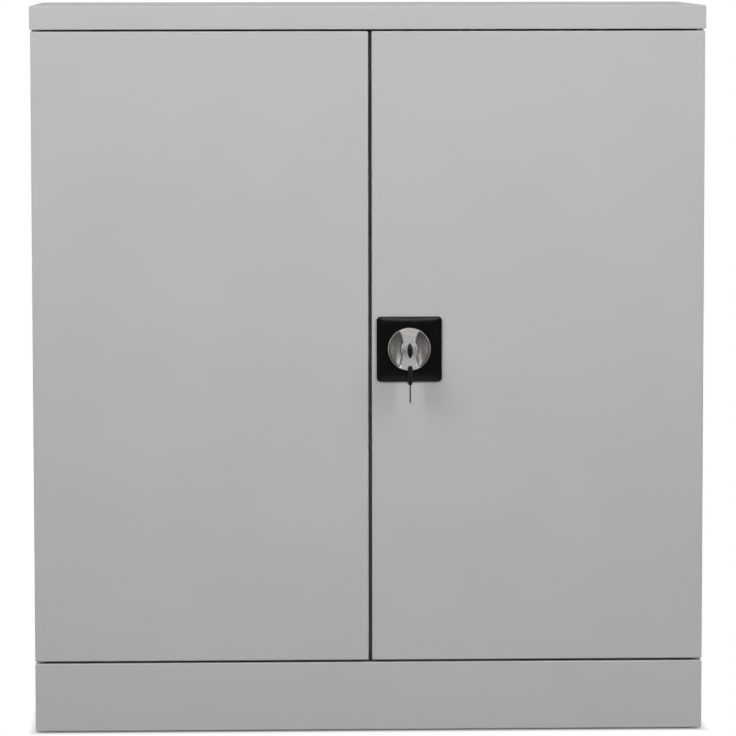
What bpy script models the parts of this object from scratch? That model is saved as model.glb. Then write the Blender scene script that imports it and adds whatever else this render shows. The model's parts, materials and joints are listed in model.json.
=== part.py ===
# Low two-door steel storage cupboard with a turn handle, a three-point lock and two shelves.
# Metres, +Z up, +X to the right of someone facing the doors, which face -Y.
# The origin lies on the floor, under the middle of the whole object, keys included.

from math import atan2, cos, pi, radians, sin, sqrt

import bmesh
import bpy
from mathutils import Vector

# Overall size
CABINET_WIDTH = 0.923          # over the top cap
CABINET_DEPTH = 0.400          # door faces to the back of the cap
CABINET_HEIGHT = 1.000         # floor to the top of the cap

# Sheet steel and fits
SHEET = 0.001                  # wall of every folded panel
BEND_RADIUS = 0.0015           # outside radius of the folds
FIT = 0.0003                   # air between pieces that lie against each other
OVERRUN = 0.002                # how far a cutter runs past what it cuts

# Heights of the front, as the photograph shows them
CAP_HEIGHT = 0.032             # front skirt of the top cap
PLINTH_TOP = 0.0966
GLIDE_HEIGHT = 0.002           # plastic under the folded bottom edge
TOP_GAP = 0.0028               # between cap and doors
BOTTOM_GAP = 0.0031            # between doors and plinth

# Doors
MEETING_GAP = 0.0048           # between the two doors
MEETING_OFFSET = 0.0018        # middle of that gap, right of the cabinet's middle
DOOR_THICKNESS = 0.020
DOOR_RETURN = 0.015            # folded edge round the back of a door
DOOR_SETBACK = 0.025           # door faces to the front edge of the side panels
STIFFENER_WIDTH = 0.064
STIFFENER_CROWN = 0.030
STIFFENER_FOOT = 0.012
STIFFENER_HEIGHT = 0.0165
STIFFENER_END_GAP = 0.030      # short of the door's top and bottom edges
STRIP_OVERLAP = 0.015          # meeting strip on the left door's folded edge
STRIP_END_GAP = 0.004
STRIP_CLEARANCE = 0.0005       # between meeting strip and right door

# Pivot hinges
HINGE_INSET = 0.007            # pivot axis from the door's outer edge
HINGE_DEPTH = 0.013            # pivot axis behind the door faces
PIN_RADIUS = 0.003
PIN_HEAD_RADIUS = 0.005
PIN_HEAD_HEIGHT = 0.002
PIN_REACH = 0.014              # into the door
BUSH_WALL = 0.0017
BUSH_FLANGE_RADIUS = 0.0065
BUSH_LENGTH = 0.008            # into the door

# Carcass
SIDE_RETURN = 0.025            # folded edges of the side panels
PLINTH_LIP = 0.010
STOP_HEIGHT = 0.055            # rail that the doors close against, under the cap
STOP_DEPTH = 0.020
BASE_STEP = 0.0242             # floor of the cupboard over the plinth's top
BASE_FOLD = 0.040

# Slotted uprights, shelves and clips
UPRIGHT_WIDTH = 0.018          # slotted leg
UPRIGHT_LEG = 0.020            # leg against the side panel's return
SLOT_PITCH = 0.050
SLOT_MARGIN = 0.035            # from an upright's end to its last slot
SLOT_WIDTH = 0.009
SLOT_HEIGHT = 0.0035
LOWER_SHELF_SLOT_SHARE = 0.34  # which slot holds a shelf, as a share of the upright
UPPER_SHELF_SLOT_SHARE = 0.67
CLIP_SHEET = 0.0015
CLIP_WIDTH = 0.008
CLIP_DROP = 0.014              # from its slot down to its ledge
CLIP_LEDGE = 0.014
CLIP_HOOK = 0.005
SHELF_HEIGHT = 0.025
SHELF_LIP = 0.010
SHELF_PLAY = 0.001             # at each end
SHELF_FRONT_GAP = 0.004        # behind the front edge of the side panels
SHELF_REAR_GAP = 0.003
SHELF_RIB_WIDTH = 0.060
SHELF_RIB_CROWN = 0.028
SHELF_RIB_FOOT = 0.012
SHELF_RIB_HEIGHT = 0.018

# Glides and rubber buffers
GLIDE_RADIUS = 0.011
GLIDE_STEM_RADIUS = 0.004
GLIDE_STEM = 0.007
GLIDE_INSET = 0.040            # from the ends of a side panel
BUFFER_RADIUS = 0.005
BUFFER_EDGE = 0.0012
BUFFER_INSET = 0.095           # from the meeting gap

# Lock plate and housing, which grow with the knob
LOCK_BELOW_MIDDLE = 0.0019     # lock axis under the middle of the doors
PLATE_MARGIN = 0.0118          # plate past the housing, on each side
PLATE_CORNER = 0.005
PLATE_THICKNESS = 0.004        # in front of the door
PLATE_EDGE = 0.0012
PLATE_INSET = 0.0064           # plate to the right door's meeting edge
HOUSING_WALL = 0.003
HOUSING_DEPTH = 0.0125         # behind the door faces
HOUSING_FLOOR = 0.0045
CLAMP_MARGIN = 0.007           # clamp past the housing, on each side
CLAMP_SHEET = 0.0015
CLAMP_CORNER = 0.003

# Turn handle
KNOB_RADIUS = 0.0292
KNOB_PROUD = 0.003             # in front of the plate
KNOB_EDGE = 0.0006
KNOB_CLEARANCE = 0.0008
KNOB_RIM = 0.0012
SCOOP_OFFSET = 0.0185          # middle of a finger scoop from the knob's axis
SCOOP_HALF_WIDTH = 0.01075
SCOOP_HALF_HEIGHT = 0.028
SCOOP_DEPTH = 0.010
BOSS_RADIUS = 0.011            # round the lock barrel
SHAFT_RADIUS = 0.012
SHAFT_FLOOR = 0.0015
SPINDLE_SIZE = 0.007
STUD_RADIUS = 0.003
STUD_END = 0.0004              # past the nut
NUT_FLATS = 0.010
NUT_HEIGHT = 0.004

# Latch cam and lock rods
CAM_SHEET = 0.002
HUB_RADIUS = 0.007
CRANK_RADIUS = 0.018           # handle axis to crank pins
CRANK_WIDTH = 0.008
CRANK_PIN_RADIUS = 0.002
CRANK_REST_ANGLE = radians(-45)
TONGUE_PLANE = 0.0218          # front of the tongue behind the door faces
TONGUE_REACH = 0.010           # behind the left door, from the cabinet's middle
TONGUE_WIDTH = 0.014
ROD_SHEET = 0.0015
ROD_WIDTH = 0.014
ROD_OFFSET = 0.0153            # middle of a rod from the handle axis
ROD_TAIL = 0.005               # rod past its crank slot
ROD_CORNER = 0.0015
SLOT_SIDE_PLAY = 0.0006        # crank pin in the rod's slot, sideways
SLOT_LIFT_PLAY = 0.0007        # and along the rod
GUIDE_WALL = 0.0014
GUIDE_HEAD_WIDTH = 0.021
GUIDE_HEAD_DEPTH = 0.0056
GUIDE_HEAD_HEIGHT = 0.004
STRIKE_PLAY = 0.0008           # rod in its hole in the carcass

# Lock barrel and keys
BARREL_RADIUS = 0.009
BARREL_PROUD = 0.001           # in front of the knob
PLUG_RADIUS = 0.006
KEY_BLADE = 0.002              # thickness
KEY_BLADE_WIDTH = 0.008
KEY_BOW_LENGTH = 0.027
KEY_BOW_WIDTH = 0.0215
KEY_BOW_THICKNESS = 0.0068
KEY_BOW_CORNER = 0.007
KEY_BOW_EDGE = 0.002
KEY_HOLE_RADIUS = 0.0025
KEY_HOLE_INSET = 0.0065        # from the bow's end
KEY_SOCKET = 0.008             # blade inside the bow
KEY_SHOW = 0.0245              # blade that stands out of a bow
KEY_TIP = 0.0025
RING_RADIUS = 0.0123           # to the middle of its wire
RING_WIRE_RADIUS = 0.00075

# Facets and meshes
FINE_STEPS = 40
ROUND_STEPS = 24
SMALL_STEPS = 16
CORNER_STEPS = 4
EDGE_STEPS = 2
MERGE_DISTANCE = 0.00001       # points closer than this are one
EDGE_ANGLE = radians(40)       # folds sharper than this are rounded
SMOOTH_ANGLE = radians(35)     # folds flatter than this are shaded smooth

# Colours, roughness and metallic
FINISHES = {
    "light_grey_powder_coat": ((0.50, 0.50, 0.50), 0.45, 0.0),
    "black_plastic": ((0.010, 0.010, 0.011), 0.35, 0.0),
    "satin_zinc": ((0.60, 0.59, 0.58), 0.35, 1.0),
    "bright_zinc": ((0.65, 0.66, 0.68), 0.30, 1.0),
    "white_nylon": ((0.75, 0.75, 0.72), 0.50, 0.0),
    "black_rubber": ((0.02, 0.02, 0.02), 0.80, 0.0),
}

# Levels and planes that follow from the sizes above
housing_size = 2 * (KNOB_RADIUS + KNOB_CLEARANCE + HOUSING_WALL)
plate_size = housing_size + 2 * PLATE_MARGIN
clamp_size = housing_size + 2 * CLAMP_MARGIN
knob_face = PLATE_THICKNESS + KNOB_PROUD
plug_face = knob_face + BARREL_PROUD
barrel_back = HOUSING_DEPTH - SHAFT_FLOOR - FIT
bow_end = KEY_SHOW - barrel_back + KEY_BOW_LENGTH
key_hole_proud = bow_end - KEY_HOLE_INSET
front_reach = key_hole_proud + KEY_BOW_WIDTH / 2

front_y = (front_reach - CABINET_DEPTH) / 2
back_y = front_y + CABINET_DEPTH
body_half = CABINET_WIDTH / 2 - SHEET - FIT
body_bottom = GLIDE_HEIGHT + FIT
body_top = CABINET_HEIGHT - SHEET - FIT
cap_bottom = CABINET_HEIGHT - CAP_HEIGHT
side_front = front_y + DOOR_SETBACK
back_panel_front = back_y - 2 * SHEET - FIT
side_back = back_panel_front - FIT
inner_half = body_half - SHEET - FIT
inner_front = side_front + SHEET + FIT
inner_back = side_back - SHEET - FIT
return_plane = body_half - SIDE_RETURN

door_bottom = PLINTH_TOP + BOTTOM_GAP
door_top = cap_bottom - TOP_GAP
door_back = front_y + DOOR_THICKNESS
left_door_edge = MEETING_OFFSET - MEETING_GAP / 2
right_door_edge = MEETING_OFFSET + MEETING_GAP / 2
pivot_x = body_half - HINGE_INSET
pivot_y = front_y + HINGE_DEPTH
pin_hole_radius = PIN_RADIUS + FIT
bush_radius = PIN_RADIUS + FIT + BUSH_WALL

base_top = PLINTH_TOP + BASE_STEP
stop_bottom = body_top - SHEET - FIT - STOP_HEIGHT
upright_bottom = base_top + FIT
upright_top = stop_bottom - FIT
first_slot = upright_bottom + SLOT_MARGIN
slot_count = int((upright_top - upright_bottom - 2 * SLOT_MARGIN) / SLOT_PITCH) + 1

lock_x = right_door_edge + PLATE_INSET + plate_size / 2
lock_z = (door_bottom + door_top) / 2 - LOCK_BELOW_MIDDLE
knob_back = HOUSING_DEPTH - HOUSING_FLOOR - FIT
crank_front = HOUSING_DEPTH + FIT
rod_front = crank_front + CAM_SHEET + FIT
tongue_back = TONGUE_PLANE + CAM_SHEET
nut_front = tongue_back + FIT


# Scene, collections and materials

def clear_scene():
    for old_object in list(bpy.data.objects):
        bpy.data.objects.remove(old_object, do_unlink=True)


def new_collection(name):
    collection = bpy.data.collections.new(name)
    bpy.context.scene.collection.children.link(collection)
    return collection


def new_material(name, colour, roughness, metallic):
    material = bpy.data.materials.new(name)
    material.use_nodes = True
    shader = material.node_tree.nodes["Principled BSDF"]
    shader.inputs["Base Color"].default_value = (*colour, 1.0)
    shader.inputs["Roughness"].default_value = roughness
    shader.inputs["Metallic"].default_value = metallic
    return material


def add_object(name, mesh, location=(0, 0, 0), rotation=(0, 0, 0)):
    piece = bpy.data.objects.new(name, mesh)
    piece.location = location
    piece.rotation_euler = rotation
    PARTS.objects.link(piece)
    return piece


def finish(piece, finish_name, pivot=None):
    piece.data.materials.clear()
    piece.data.materials.append(MATERIALS[finish_name])
    piece.data.shade_smooth()
    piece.data.set_sharp_from_angle(angle=SMOOTH_ANGLE)
    if pivot is not None:
        bpy.context.view_layer.update()
        piece.parent = pivot
        piece.matrix_parent_inverse = pivot.matrix_world.inverted()
    return piece


def make_tool(piece):
    # A shape that only cuts or joins others is kept out of the model
    PARTS.objects.unlink(piece)
    CUTTERS.objects.link(piece)
    piece.hide_render = True
    piece.display_type = "WIRE"
    return piece


def add_pivot(name, location, parent=None):
    pivot = bpy.data.objects.new(name, None)
    pivot.empty_display_size = DOOR_THICKNESS
    pivot.location = location
    PARTS.objects.link(pivot)
    if parent is not None:
        bpy.context.view_layer.update()
        pivot.parent = parent
        pivot.matrix_parent_inverse = parent.matrix_world.inverted()
    return pivot


def combine(piece, tool, operation):
    modifier = piece.modifiers.new(operation.lower() + "_" + tool.name, "BOOLEAN")
    modifier.operation = operation
    modifier.object = tool


# Shapes

def box(name, corner, opposite):
    low = Vector([min(pair) for pair in zip(corner, opposite)])
    high = Vector([max(pair) for pair in zip(corner, opposite)])
    shape = bmesh.new()
    bmesh.ops.create_cube(shape, size=1)
    bmesh.ops.scale(shape, vec=high - low, verts=shape.verts)
    mesh = bpy.data.meshes.new(name)
    shape.to_mesh(mesh)
    shape.free()
    return add_object(name, mesh, (low + high) / 2)


def folded_pan(name, low, high, mouth_axis, mouth_sign, lip=0):
    # A tray folded from sheet: five walls, and a lip round the open side if it has one
    low, high = Vector(low), Vector(high)
    shape = bmesh.new()
    bmesh.ops.create_cube(shape, size=1)
    bmesh.ops.scale(shape, vec=high - low, verts=shape.verts)
    shape.normal_update()
    mouth = max(shape.faces, key=lambda face: face.normal[mouth_axis] * mouth_sign)
    if lip:
        bmesh.ops.inset_region(shape, faces=[mouth], thickness=lip, use_boundary=True,
                               use_even_offset=True)
    bmesh.ops.delete(shape, geom=[mouth], context="FACES_ONLY")
    mesh = bpy.data.meshes.new(name)
    shape.to_mesh(mesh)
    shape.free()
    pan = add_object(name, mesh, (low + high) / 2)
    add_bevel(pan, BEND_RADIUS)
    add_wall(pan, SHEET, -1)
    return pan


def folded_strip(name, outline, length, wall, location, rotation=(0, 0, 0)):
    # A strip with its folds in local XY, as long along local Z as given
    shape = bmesh.new()
    corners = [shape.verts.new((x, y, -length / 2)) for x, y in outline]
    edges = [shape.edges.new(pair) for pair in zip(corners, corners[1:])]
    raised = bmesh.ops.extrude_edge_only(shape, edges=edges)["geom"]
    upper = [item for item in raised if isinstance(item, bmesh.types.BMVert)]
    bmesh.ops.translate(shape, vec=(0, 0, length), verts=upper)
    mesh = bpy.data.meshes.new(name)
    shape.to_mesh(mesh)
    shape.free()
    strip = add_object(name, mesh, location, rotation)
    add_wall(strip, wall, 0)
    return strip


def turned(name, profile, location, rotation=(0, 0, 0), steps=ROUND_STEPS, ring=False):
    # Radius and height pairs, down the outer side; a ring's profile closes on itself
    mesh = bpy.data.meshes.new(name)
    edges = [(index, index + 1) for index in range(len(profile) - 1)]
    if ring:
        edges.append((len(profile) - 1, 0))
    mesh.from_pydata([(radius, 0, height) for radius, height in profile], edges, [])
    piece = add_object(name, mesh, location, rotation)
    screw = piece.modifiers.new("turn", "SCREW")
    screw.steps = steps
    screw.render_steps = steps
    screw.use_merge_vertices = True
    screw.merge_threshold = MERGE_DISTANCE
    return piece


def flat_plate(name, outlines, thickness, location, rotation=(0, 0, 0)):
    # A plate in local XY, middle of its thickness at zero; outlines after the first are holes
    curve = bpy.data.curves.new(name, "CURVE")
    curve.dimensions = "2D"
    curve.fill_mode = "BOTH"
    curve.extrude = thickness / 2
    for outline in outlines:
        spline = curve.splines.new("POLY")
        spline.points.add(len(outline) - 1)
        for point, (x, y) in zip(spline.points, outline):
            point.co = (x, y, 0, 1)
        spline.use_cyclic_u = True
    drawing = add_object(name + "_outline", curve)
    depsgraph = bpy.context.evaluated_depsgraph_get()
    mesh = bpy.data.meshes.new_from_object(drawing.evaluated_get(depsgraph))
    bpy.data.objects.remove(drawing, do_unlink=True)
    shape = bmesh.new()
    shape.from_mesh(mesh)
    bmesh.ops.remove_doubles(shape, verts=shape.verts, dist=MERGE_DISTANCE)
    bmesh.ops.recalc_face_normals(shape, faces=shape.faces)
    shape.to_mesh(mesh)
    shape.free()
    mesh.name = name
    return add_object(name, mesh, location, rotation)


def arc(centre_x, centre_y, radius, start, end, steps):
    angles = [start + (end - start) * step / steps for step in range(steps + 1)]
    return [(centre_x + radius * cos(angle), centre_y + radius * sin(angle)) for angle in angles]


def rounded_outline(low_x, low_y, high_x, high_y, radius, steps=CORNER_STEPS):
    outline = arc(high_x - radius, high_y - radius, radius, 0, pi / 2, steps)
    outline += arc(low_x + radius, high_y - radius, radius, pi / 2, pi, steps)
    outline += arc(low_x + radius, low_y + radius, radius, pi, 3 * pi / 2, steps)
    outline += arc(high_x - radius, low_y + radius, radius, 3 * pi / 2, 2 * pi, steps)
    return outline


def round_ended_outline(start_x, start_y, end_x, end_y, radius, steps=SMALL_STEPS // 2):
    # A bar with half-round ends, from one end's centre to the other's
    turn = atan2(end_y - start_y, end_x - start_x)
    outline = arc(end_x, end_y, radius, turn - pi / 2, turn + pi / 2, steps)
    outline += arc(start_x, start_y, radius, turn + pi / 2, turn + 3 * pi / 2, steps)
    return outline


def add_bevel(piece, width):
    bevel = piece.modifiers.new("rounded_edges", "BEVEL")
    bevel.width = width
    bevel.segments = EDGE_STEPS
    bevel.limit_method = "ANGLE"
    bevel.angle_limit = EDGE_ANGLE


def add_wall(piece, thickness, offset):
    wall = piece.modifiers.new("sheet", "SOLIDIFY")
    wall.thickness = thickness
    wall.offset = offset
    wall.use_even_offset = True


# Places on the lock: across, up and proud of the door faces

FACING_OUT = (pi / 2, 0, 0)    # turns local +Z to the front and local +Y up


def lock_point(across, up, proud):
    return (lock_x + across, front_y - proud, lock_z + up)


def lock_disc(name, radius, front, back, steps=ROUND_STEPS):
    profile = [(0, front), (radius, front), (radius, back), (0, back)]
    return turned(name, profile, lock_point(0, 0, 0), FACING_OUT, steps)


# Carcass

def make_side_panel(name, side):
    outer, inner = side * body_half, side * return_plane
    panel = folded_pan(name, (min(outer, inner), side_front, body_bottom),
                       (max(outer, inner), side_back, body_top), 0, -side)
    for end, glide_y in (("front", side_front + GLIDE_INSET), ("rear", side_back - GLIDE_INSET)):
        hole = turned(f"{name}_{end}_glide_hole",
                      [(0, OVERRUN), (GLIDE_STEM_RADIUS + FIT, OVERRUN),
                       (GLIDE_STEM_RADIUS + FIT, -OVERRUN), (0, -OVERRUN)],
                      (side * (body_half - SIDE_RETURN / 2), glide_y, body_bottom), steps=SMALL_STEPS)
        combine(panel, make_tool(hole), "DIFFERENCE")
    return finish(panel, "light_grey_powder_coat")


def make_back_panel():
    panel = box("back_panel", (-body_half, back_panel_front, body_bottom),
                (body_half, back_panel_front + SHEET, body_top))
    return finish(panel, "light_grey_powder_coat")


def make_top_cap():
    cap = folded_pan("top_cap", (-CABINET_WIDTH / 2, front_y, cap_bottom),
                     (CABINET_WIDTH / 2, back_y, CABINET_HEIGHT), 2, -1)
    return finish(cap, "light_grey_powder_coat")


def cut_pin_and_rod_holes(rail, level, rod_across):
    for side_name, side in (("left", -1), ("right", 1)):
        hole = turned(f"{rail.name}_{side_name}_pin_hole",
                      [(0, OVERRUN), (pin_hole_radius, OVERRUN),
                       (pin_hole_radius, -OVERRUN), (0, -OVERRUN)],
                      (side * pivot_x, pivot_y, level), steps=SMALL_STEPS)
        combine(rail, make_tool(hole), "DIFFERENCE")
    rod_middle = front_y + rod_front + ROD_SHEET / 2
    half_width = ROD_WIDTH / 2 + STRIKE_PLAY
    half_depth = ROD_SHEET / 2 + STRIKE_PLAY
    strike = box(rail.name + "_rod_hole",
                 (lock_x + rod_across - half_width, rod_middle - half_depth, level - OVERRUN),
                 (lock_x + rod_across + half_width, rod_middle + half_depth, level + OVERRUN))
    combine(rail, make_tool(strike), "DIFFERENCE")


def make_top_rail():
    rail = folded_pan("top_rail", (-body_half, front_y + SHEET + FIT, cap_bottom),
                      (body_half, side_front - FIT, body_top), 2, 1)
    cut_pin_and_rod_holes(rail, cap_bottom, ROD_OFFSET)
    return finish(rail, "light_grey_powder_coat")


def make_plinth():
    plinth = folded_pan("plinth_front", (-body_half, front_y, body_bottom),
                        (body_half, side_front - FIT, PLINTH_TOP), 1, 1, PLINTH_LIP)
    cut_pin_and_rod_holes(plinth, PLINTH_TOP, -ROD_OFFSET)
    return finish(plinth, "light_grey_powder_coat")


def make_door_stop():
    stop = folded_pan("door_stop_rail", (-inner_half, inner_front, stop_bottom),
                      (inner_half, inner_front + STOP_DEPTH, stop_bottom + STOP_HEIGHT), 1, 1)
    return finish(stop, "light_grey_powder_coat")


def make_base_panel():
    base = folded_pan("base_panel", (-inner_half, inner_front, base_top - BASE_FOLD),
                      (inner_half, inner_back, base_top), 2, -1)
    return finish(base, "light_grey_powder_coat")


def make_glide(name, side, glide_y):
    stem_top = GLIDE_HEIGHT + GLIDE_STEM
    profile = [(0, stem_top), (GLIDE_STEM_RADIUS, stem_top), (GLIDE_STEM_RADIUS, GLIDE_HEIGHT),
               (GLIDE_RADIUS, GLIDE_HEIGHT), (GLIDE_RADIUS, 0), (0, 0)]
    glide = turned(name, profile, (side * (body_half - SIDE_RETURN / 2), glide_y, 0),
                   steps=SMALL_STEPS)
    return finish(glide, "black_plastic")


def make_carcass():
    make_side_panel("side_panel_left", -1)
    make_side_panel("side_panel_right", 1)
    make_back_panel()
    make_top_cap()
    make_top_rail()
    make_door_stop()
    make_base_panel()
    make_plinth()
    for side_name, side in (("left", -1), ("right", 1)):
        make_glide(f"glide_{side_name}_front", side, side_front + GLIDE_INSET)
        make_glide(f"glide_{side_name}_rear", side, side_back - GLIDE_INSET)


# Slotted uprights, shelves and their clips

def upright_face(end):
    # Where the upright's leg lies against a return of the side panel, and which way it runs in
    if end == "front":
        return inner_front, 1
    return inner_back, -1


def slot_middle(end):
    face, inward = upright_face(end)
    return face + inward * UPRIGHT_WIDTH / 2


def make_upright(side_name, side, end):
    face, inward = upright_face(end)
    half = SHEET / 2
    corner_x, corner_y = side * (return_plane + half), face + inward * half
    outline = [(0, inward * (UPRIGHT_WIDTH - half)), (0, 0), (side * UPRIGHT_LEG, 0)]
    name = f"upright_{side_name}_{end}"
    upright = folded_strip(name, outline, upright_top - upright_bottom, SHEET,
                           (corner_x, corner_y, (upright_top + upright_bottom) / 2))
    slot = box(name + "_slots",
               (corner_x - OVERRUN, slot_middle(end) - SLOT_WIDTH / 2, first_slot - SLOT_HEIGHT / 2),
               (corner_x + OVERRUN, slot_middle(end) + SLOT_WIDTH / 2, first_slot + SLOT_HEIGHT / 2))
    row = slot.modifiers.new("row", "ARRAY")
    row.count = slot_count
    row.use_relative_offset = False
    row.use_constant_offset = True
    row.constant_offset_displace = (0, 0, SLOT_PITCH)
    combine(upright, make_tool(slot), "DIFFERENCE")
    return finish(upright, "bright_zinc")


def make_clip(shelf_name, side_name, side, end, slot_z):
    # Hooked over the slot's lower edge, with a ledge for the shelf's folded lip
    half = CLIP_SHEET / 2
    through = SHEET + 2 * FIT + CLIP_SHEET
    outline = [(-side * CLIP_LEDGE, -CLIP_DROP), (0, -CLIP_DROP), (0, 0),
               (side * through, 0), (side * through, -CLIP_HOOK)]
    clip = folded_strip(f"shelf_clip_{shelf_name}_{side_name}_{end}", outline, CLIP_WIDTH, CLIP_SHEET,
                        (side * (return_plane - FIT - half), slot_middle(end), slot_z), FACING_OUT)
    return finish(clip, "bright_zinc")


def make_shelf(shelf_name, slot_share):
    slot_z = first_slot + round(slot_share * (slot_count - 1)) * SLOT_PITCH
    shelf_bottom = slot_z - CLIP_DROP + CLIP_SHEET / 2 + FIT
    half_width = return_plane - FIT - CLIP_SHEET - SHELF_PLAY
    shelf_front = side_front + SHELF_FRONT_GAP
    shelf_back = side_back - SHELF_REAR_GAP
    shelf = folded_pan("shelf_" + shelf_name, (-half_width, shelf_front, shelf_bottom),
                       (half_width, shelf_back, shelf_bottom + SHELF_HEIGHT), 2, -1, SHELF_LIP)
    rib_half, crown_half = SHELF_RIB_WIDTH / 2, SHELF_RIB_CROWN / 2
    rib_top = shelf_bottom + SHELF_HEIGHT - SHEET
    outline = [(-rib_half, 0), (-rib_half + SHELF_RIB_FOOT, 0), (-crown_half, -SHELF_RIB_HEIGHT),
               (crown_half, -SHELF_RIB_HEIGHT), (rib_half - SHELF_RIB_FOOT, 0), (rib_half, 0)]
    rib = folded_strip(f"shelf_{shelf_name}_rib", outline, 2 * half_width - 2 * SHELF_LIP, SHEET,
                       (0, (shelf_front + shelf_back) / 2, rib_top), (pi / 2, 0, pi / 2))
    combine(shelf, make_tool(rib), "UNION")
    finish(shelf, "light_grey_powder_coat")
    for side_name, side in (("left", -1), ("right", 1)):
        for end in ("front", "rear"):
            make_clip(shelf_name, side_name, side, end, slot_z)


def make_interior():
    for side_name, side in (("left", -1), ("right", 1)):
        for end in ("front", "rear"):
            make_upright(side_name, side, end)
    make_shelf("lower", LOWER_SHELF_SLOT_SHARE)
    make_shelf("upper", UPPER_SHELF_SLOT_SHARE)


# Doors and their pivots

def make_door(side_name, side, meeting_edge, pivot):
    outer = side * body_half
    door = folded_pan("door_" + side_name, (min(outer, meeting_edge), front_y, door_bottom),
                      (max(outer, meeting_edge), door_back, door_top), 1, 1, DOOR_RETURN)
    for end, level in (("bottom", door_bottom), ("top", door_top)):
        hole_radius = bush_radius + FIT
        hole = turned(f"door_{side_name}_{end}_bush_hole",
                      [(0, OVERRUN), (hole_radius, OVERRUN), (hole_radius, -OVERRUN), (0, -OVERRUN)],
                      (side * pivot_x, pivot_y, level), steps=ROUND_STEPS)
        combine(door, make_tool(hole), "DIFFERENCE")
    finish(door, "light_grey_powder_coat", pivot)

    half, crown_half = STIFFENER_WIDTH / 2, STIFFENER_CROWN / 2
    outline = [(-half, 0), (-half + STIFFENER_FOOT, 0), (-crown_half, STIFFENER_HEIGHT),
               (crown_half, STIFFENER_HEIGHT), (half - STIFFENER_FOOT, 0), (half, 0)]
    stiffener = folded_strip(f"door_{side_name}_stiffener", outline,
                             door_top - door_bottom - 2 * STIFFENER_END_GAP, SHEET,
                             ((outer + meeting_edge) / 2, front_y + SHEET + FIT + SHEET / 2,
                              (door_bottom + door_top) / 2))
    finish(stiffener, "light_grey_powder_coat", pivot)
    return door


def make_hinge(side_name, side, end, pivot):
    # The pin stands in the rail or plinth, and the flanged bush is held by the door
    if end == "top":
        door_edge, gap, rotation = door_top, TOP_GAP, (0, 0, 0)
    else:
        door_edge, gap, rotation = door_bottom, BOTTOM_GAP, (pi, 0, 0)
    place = (side * pivot_x, pivot_y, door_edge)
    head = gap + SHEET + FIT
    pin = turned(f"hinge_pin_{side_name}_{end}",
                 [(0, head + PIN_HEAD_HEIGHT), (PIN_HEAD_RADIUS, head + PIN_HEAD_HEIGHT),
                  (PIN_HEAD_RADIUS, head), (PIN_RADIUS, head), (PIN_RADIUS, -PIN_REACH),
                  (0, -PIN_REACH)],
                 place, rotation, SMALL_STEPS)
    finish(pin, "bright_zinc")
    flange_low, flange_high = FIT, gap - FIT
    bush = turned(f"hinge_bush_{side_name}_{end}",
                  [(BUSH_FLANGE_RADIUS, flange_high), (BUSH_FLANGE_RADIUS, flange_low),
                   (bush_radius, flange_low), (bush_radius, -BUSH_LENGTH),
                   (pin_hole_radius, -BUSH_LENGTH), (pin_hole_radius, flange_high)],
                  place, rotation, ROUND_STEPS, ring=True)
    finish(bush, "white_nylon", pivot)


def make_meeting_strip(pivot):
    # Fills the back of the meeting gap, on the left door's folded edge
    strip = box("meeting_strip",
                (left_door_edge - STRIP_OVERLAP, door_back + FIT, door_bottom + STRIP_END_GAP),
                (right_door_edge - STRIP_CLEARANCE, door_back + FIT + SHEET, door_top - STRIP_END_GAP))
    return finish(strip, "light_grey_powder_coat", pivot)


def make_buffer(name, across, stop_face, level):
    thickness = stop_face - door_back - 2 * FIT
    profile = [(0, thickness), (BUFFER_RADIUS - BUFFER_EDGE, thickness),
               (BUFFER_RADIUS, thickness - BUFFER_EDGE), (BUFFER_RADIUS, 0), (0, 0)]
    buffer = turned(name, profile, (across, stop_face - FIT, level), FACING_OUT, SMALL_STEPS)
    return finish(buffer, "black_rubber")


def make_buffers():
    for side_name, side, edge in (("left", -1, left_door_edge), ("right", 1, right_door_edge)):
        across = edge + side * BUFFER_INSET
        make_buffer(f"buffer_{side_name}_top", across, inner_front, door_top - DOOR_RETURN / 2)
        make_buffer(f"buffer_{side_name}_bottom", across, inner_front, door_bottom + DOOR_RETURN / 2)


# Lock housing in the right door

def make_lock_housing(door, pivot):
    half_plate, half_box = plate_size / 2, housing_size / 2
    plate_middle = (PLATE_THICKNESS + FIT) / 2
    housing = flat_plate("lock_housing",
                         [rounded_outline(-half_plate, -half_plate, half_plate, half_plate,
                                          PLATE_CORNER)],
                         PLATE_THICKNESS - FIT, lock_point(0, 0, plate_middle), FACING_OUT)
    add_bevel(housing, PLATE_EDGE)
    body = box("lock_housing_box", lock_point(-half_box, -half_box, plate_middle),
               lock_point(half_box, half_box, -HOUSING_DEPTH))
    combine(housing, make_tool(body), "UNION")
    recess = lock_disc("lock_housing_recess", KNOB_RADIUS + KNOB_CLEARANCE,
                       PLATE_THICKNESS + OVERRUN, HOUSING_FLOOR - HOUSING_DEPTH, FINE_STEPS)
    combine(housing, make_tool(recess), "DIFFERENCE")
    bore = lock_disc("lock_housing_bore", SHAFT_RADIUS + FIT, OVERRUN, -HOUSING_DEPTH - OVERRUN)
    combine(housing, make_tool(bore), "DIFFERENCE")
    finish(housing, "black_plastic", pivot)

    opening_half = half_box + FIT
    opening = box("lock_opening", lock_point(-opening_half, -opening_half, OVERRUN),
                  lock_point(opening_half, opening_half, -SHEET - OVERRUN))
    combine(door, make_tool(opening), "DIFFERENCE")

    clamp_half = clamp_size / 2
    square = [(opening_half, opening_half), (-opening_half, opening_half),
              (-opening_half, -opening_half), (opening_half, -opening_half)]
    clamp = flat_plate("lock_clamp",
                       [rounded_outline(-clamp_half, -clamp_half, clamp_half, clamp_half,
                                        CLAMP_CORNER), square],
                       CLAMP_SHEET, lock_point(0, 0, -SHEET - FIT - CLAMP_SHEET / 2), FACING_OUT)
    finish(clamp, "bright_zinc", pivot)


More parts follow.
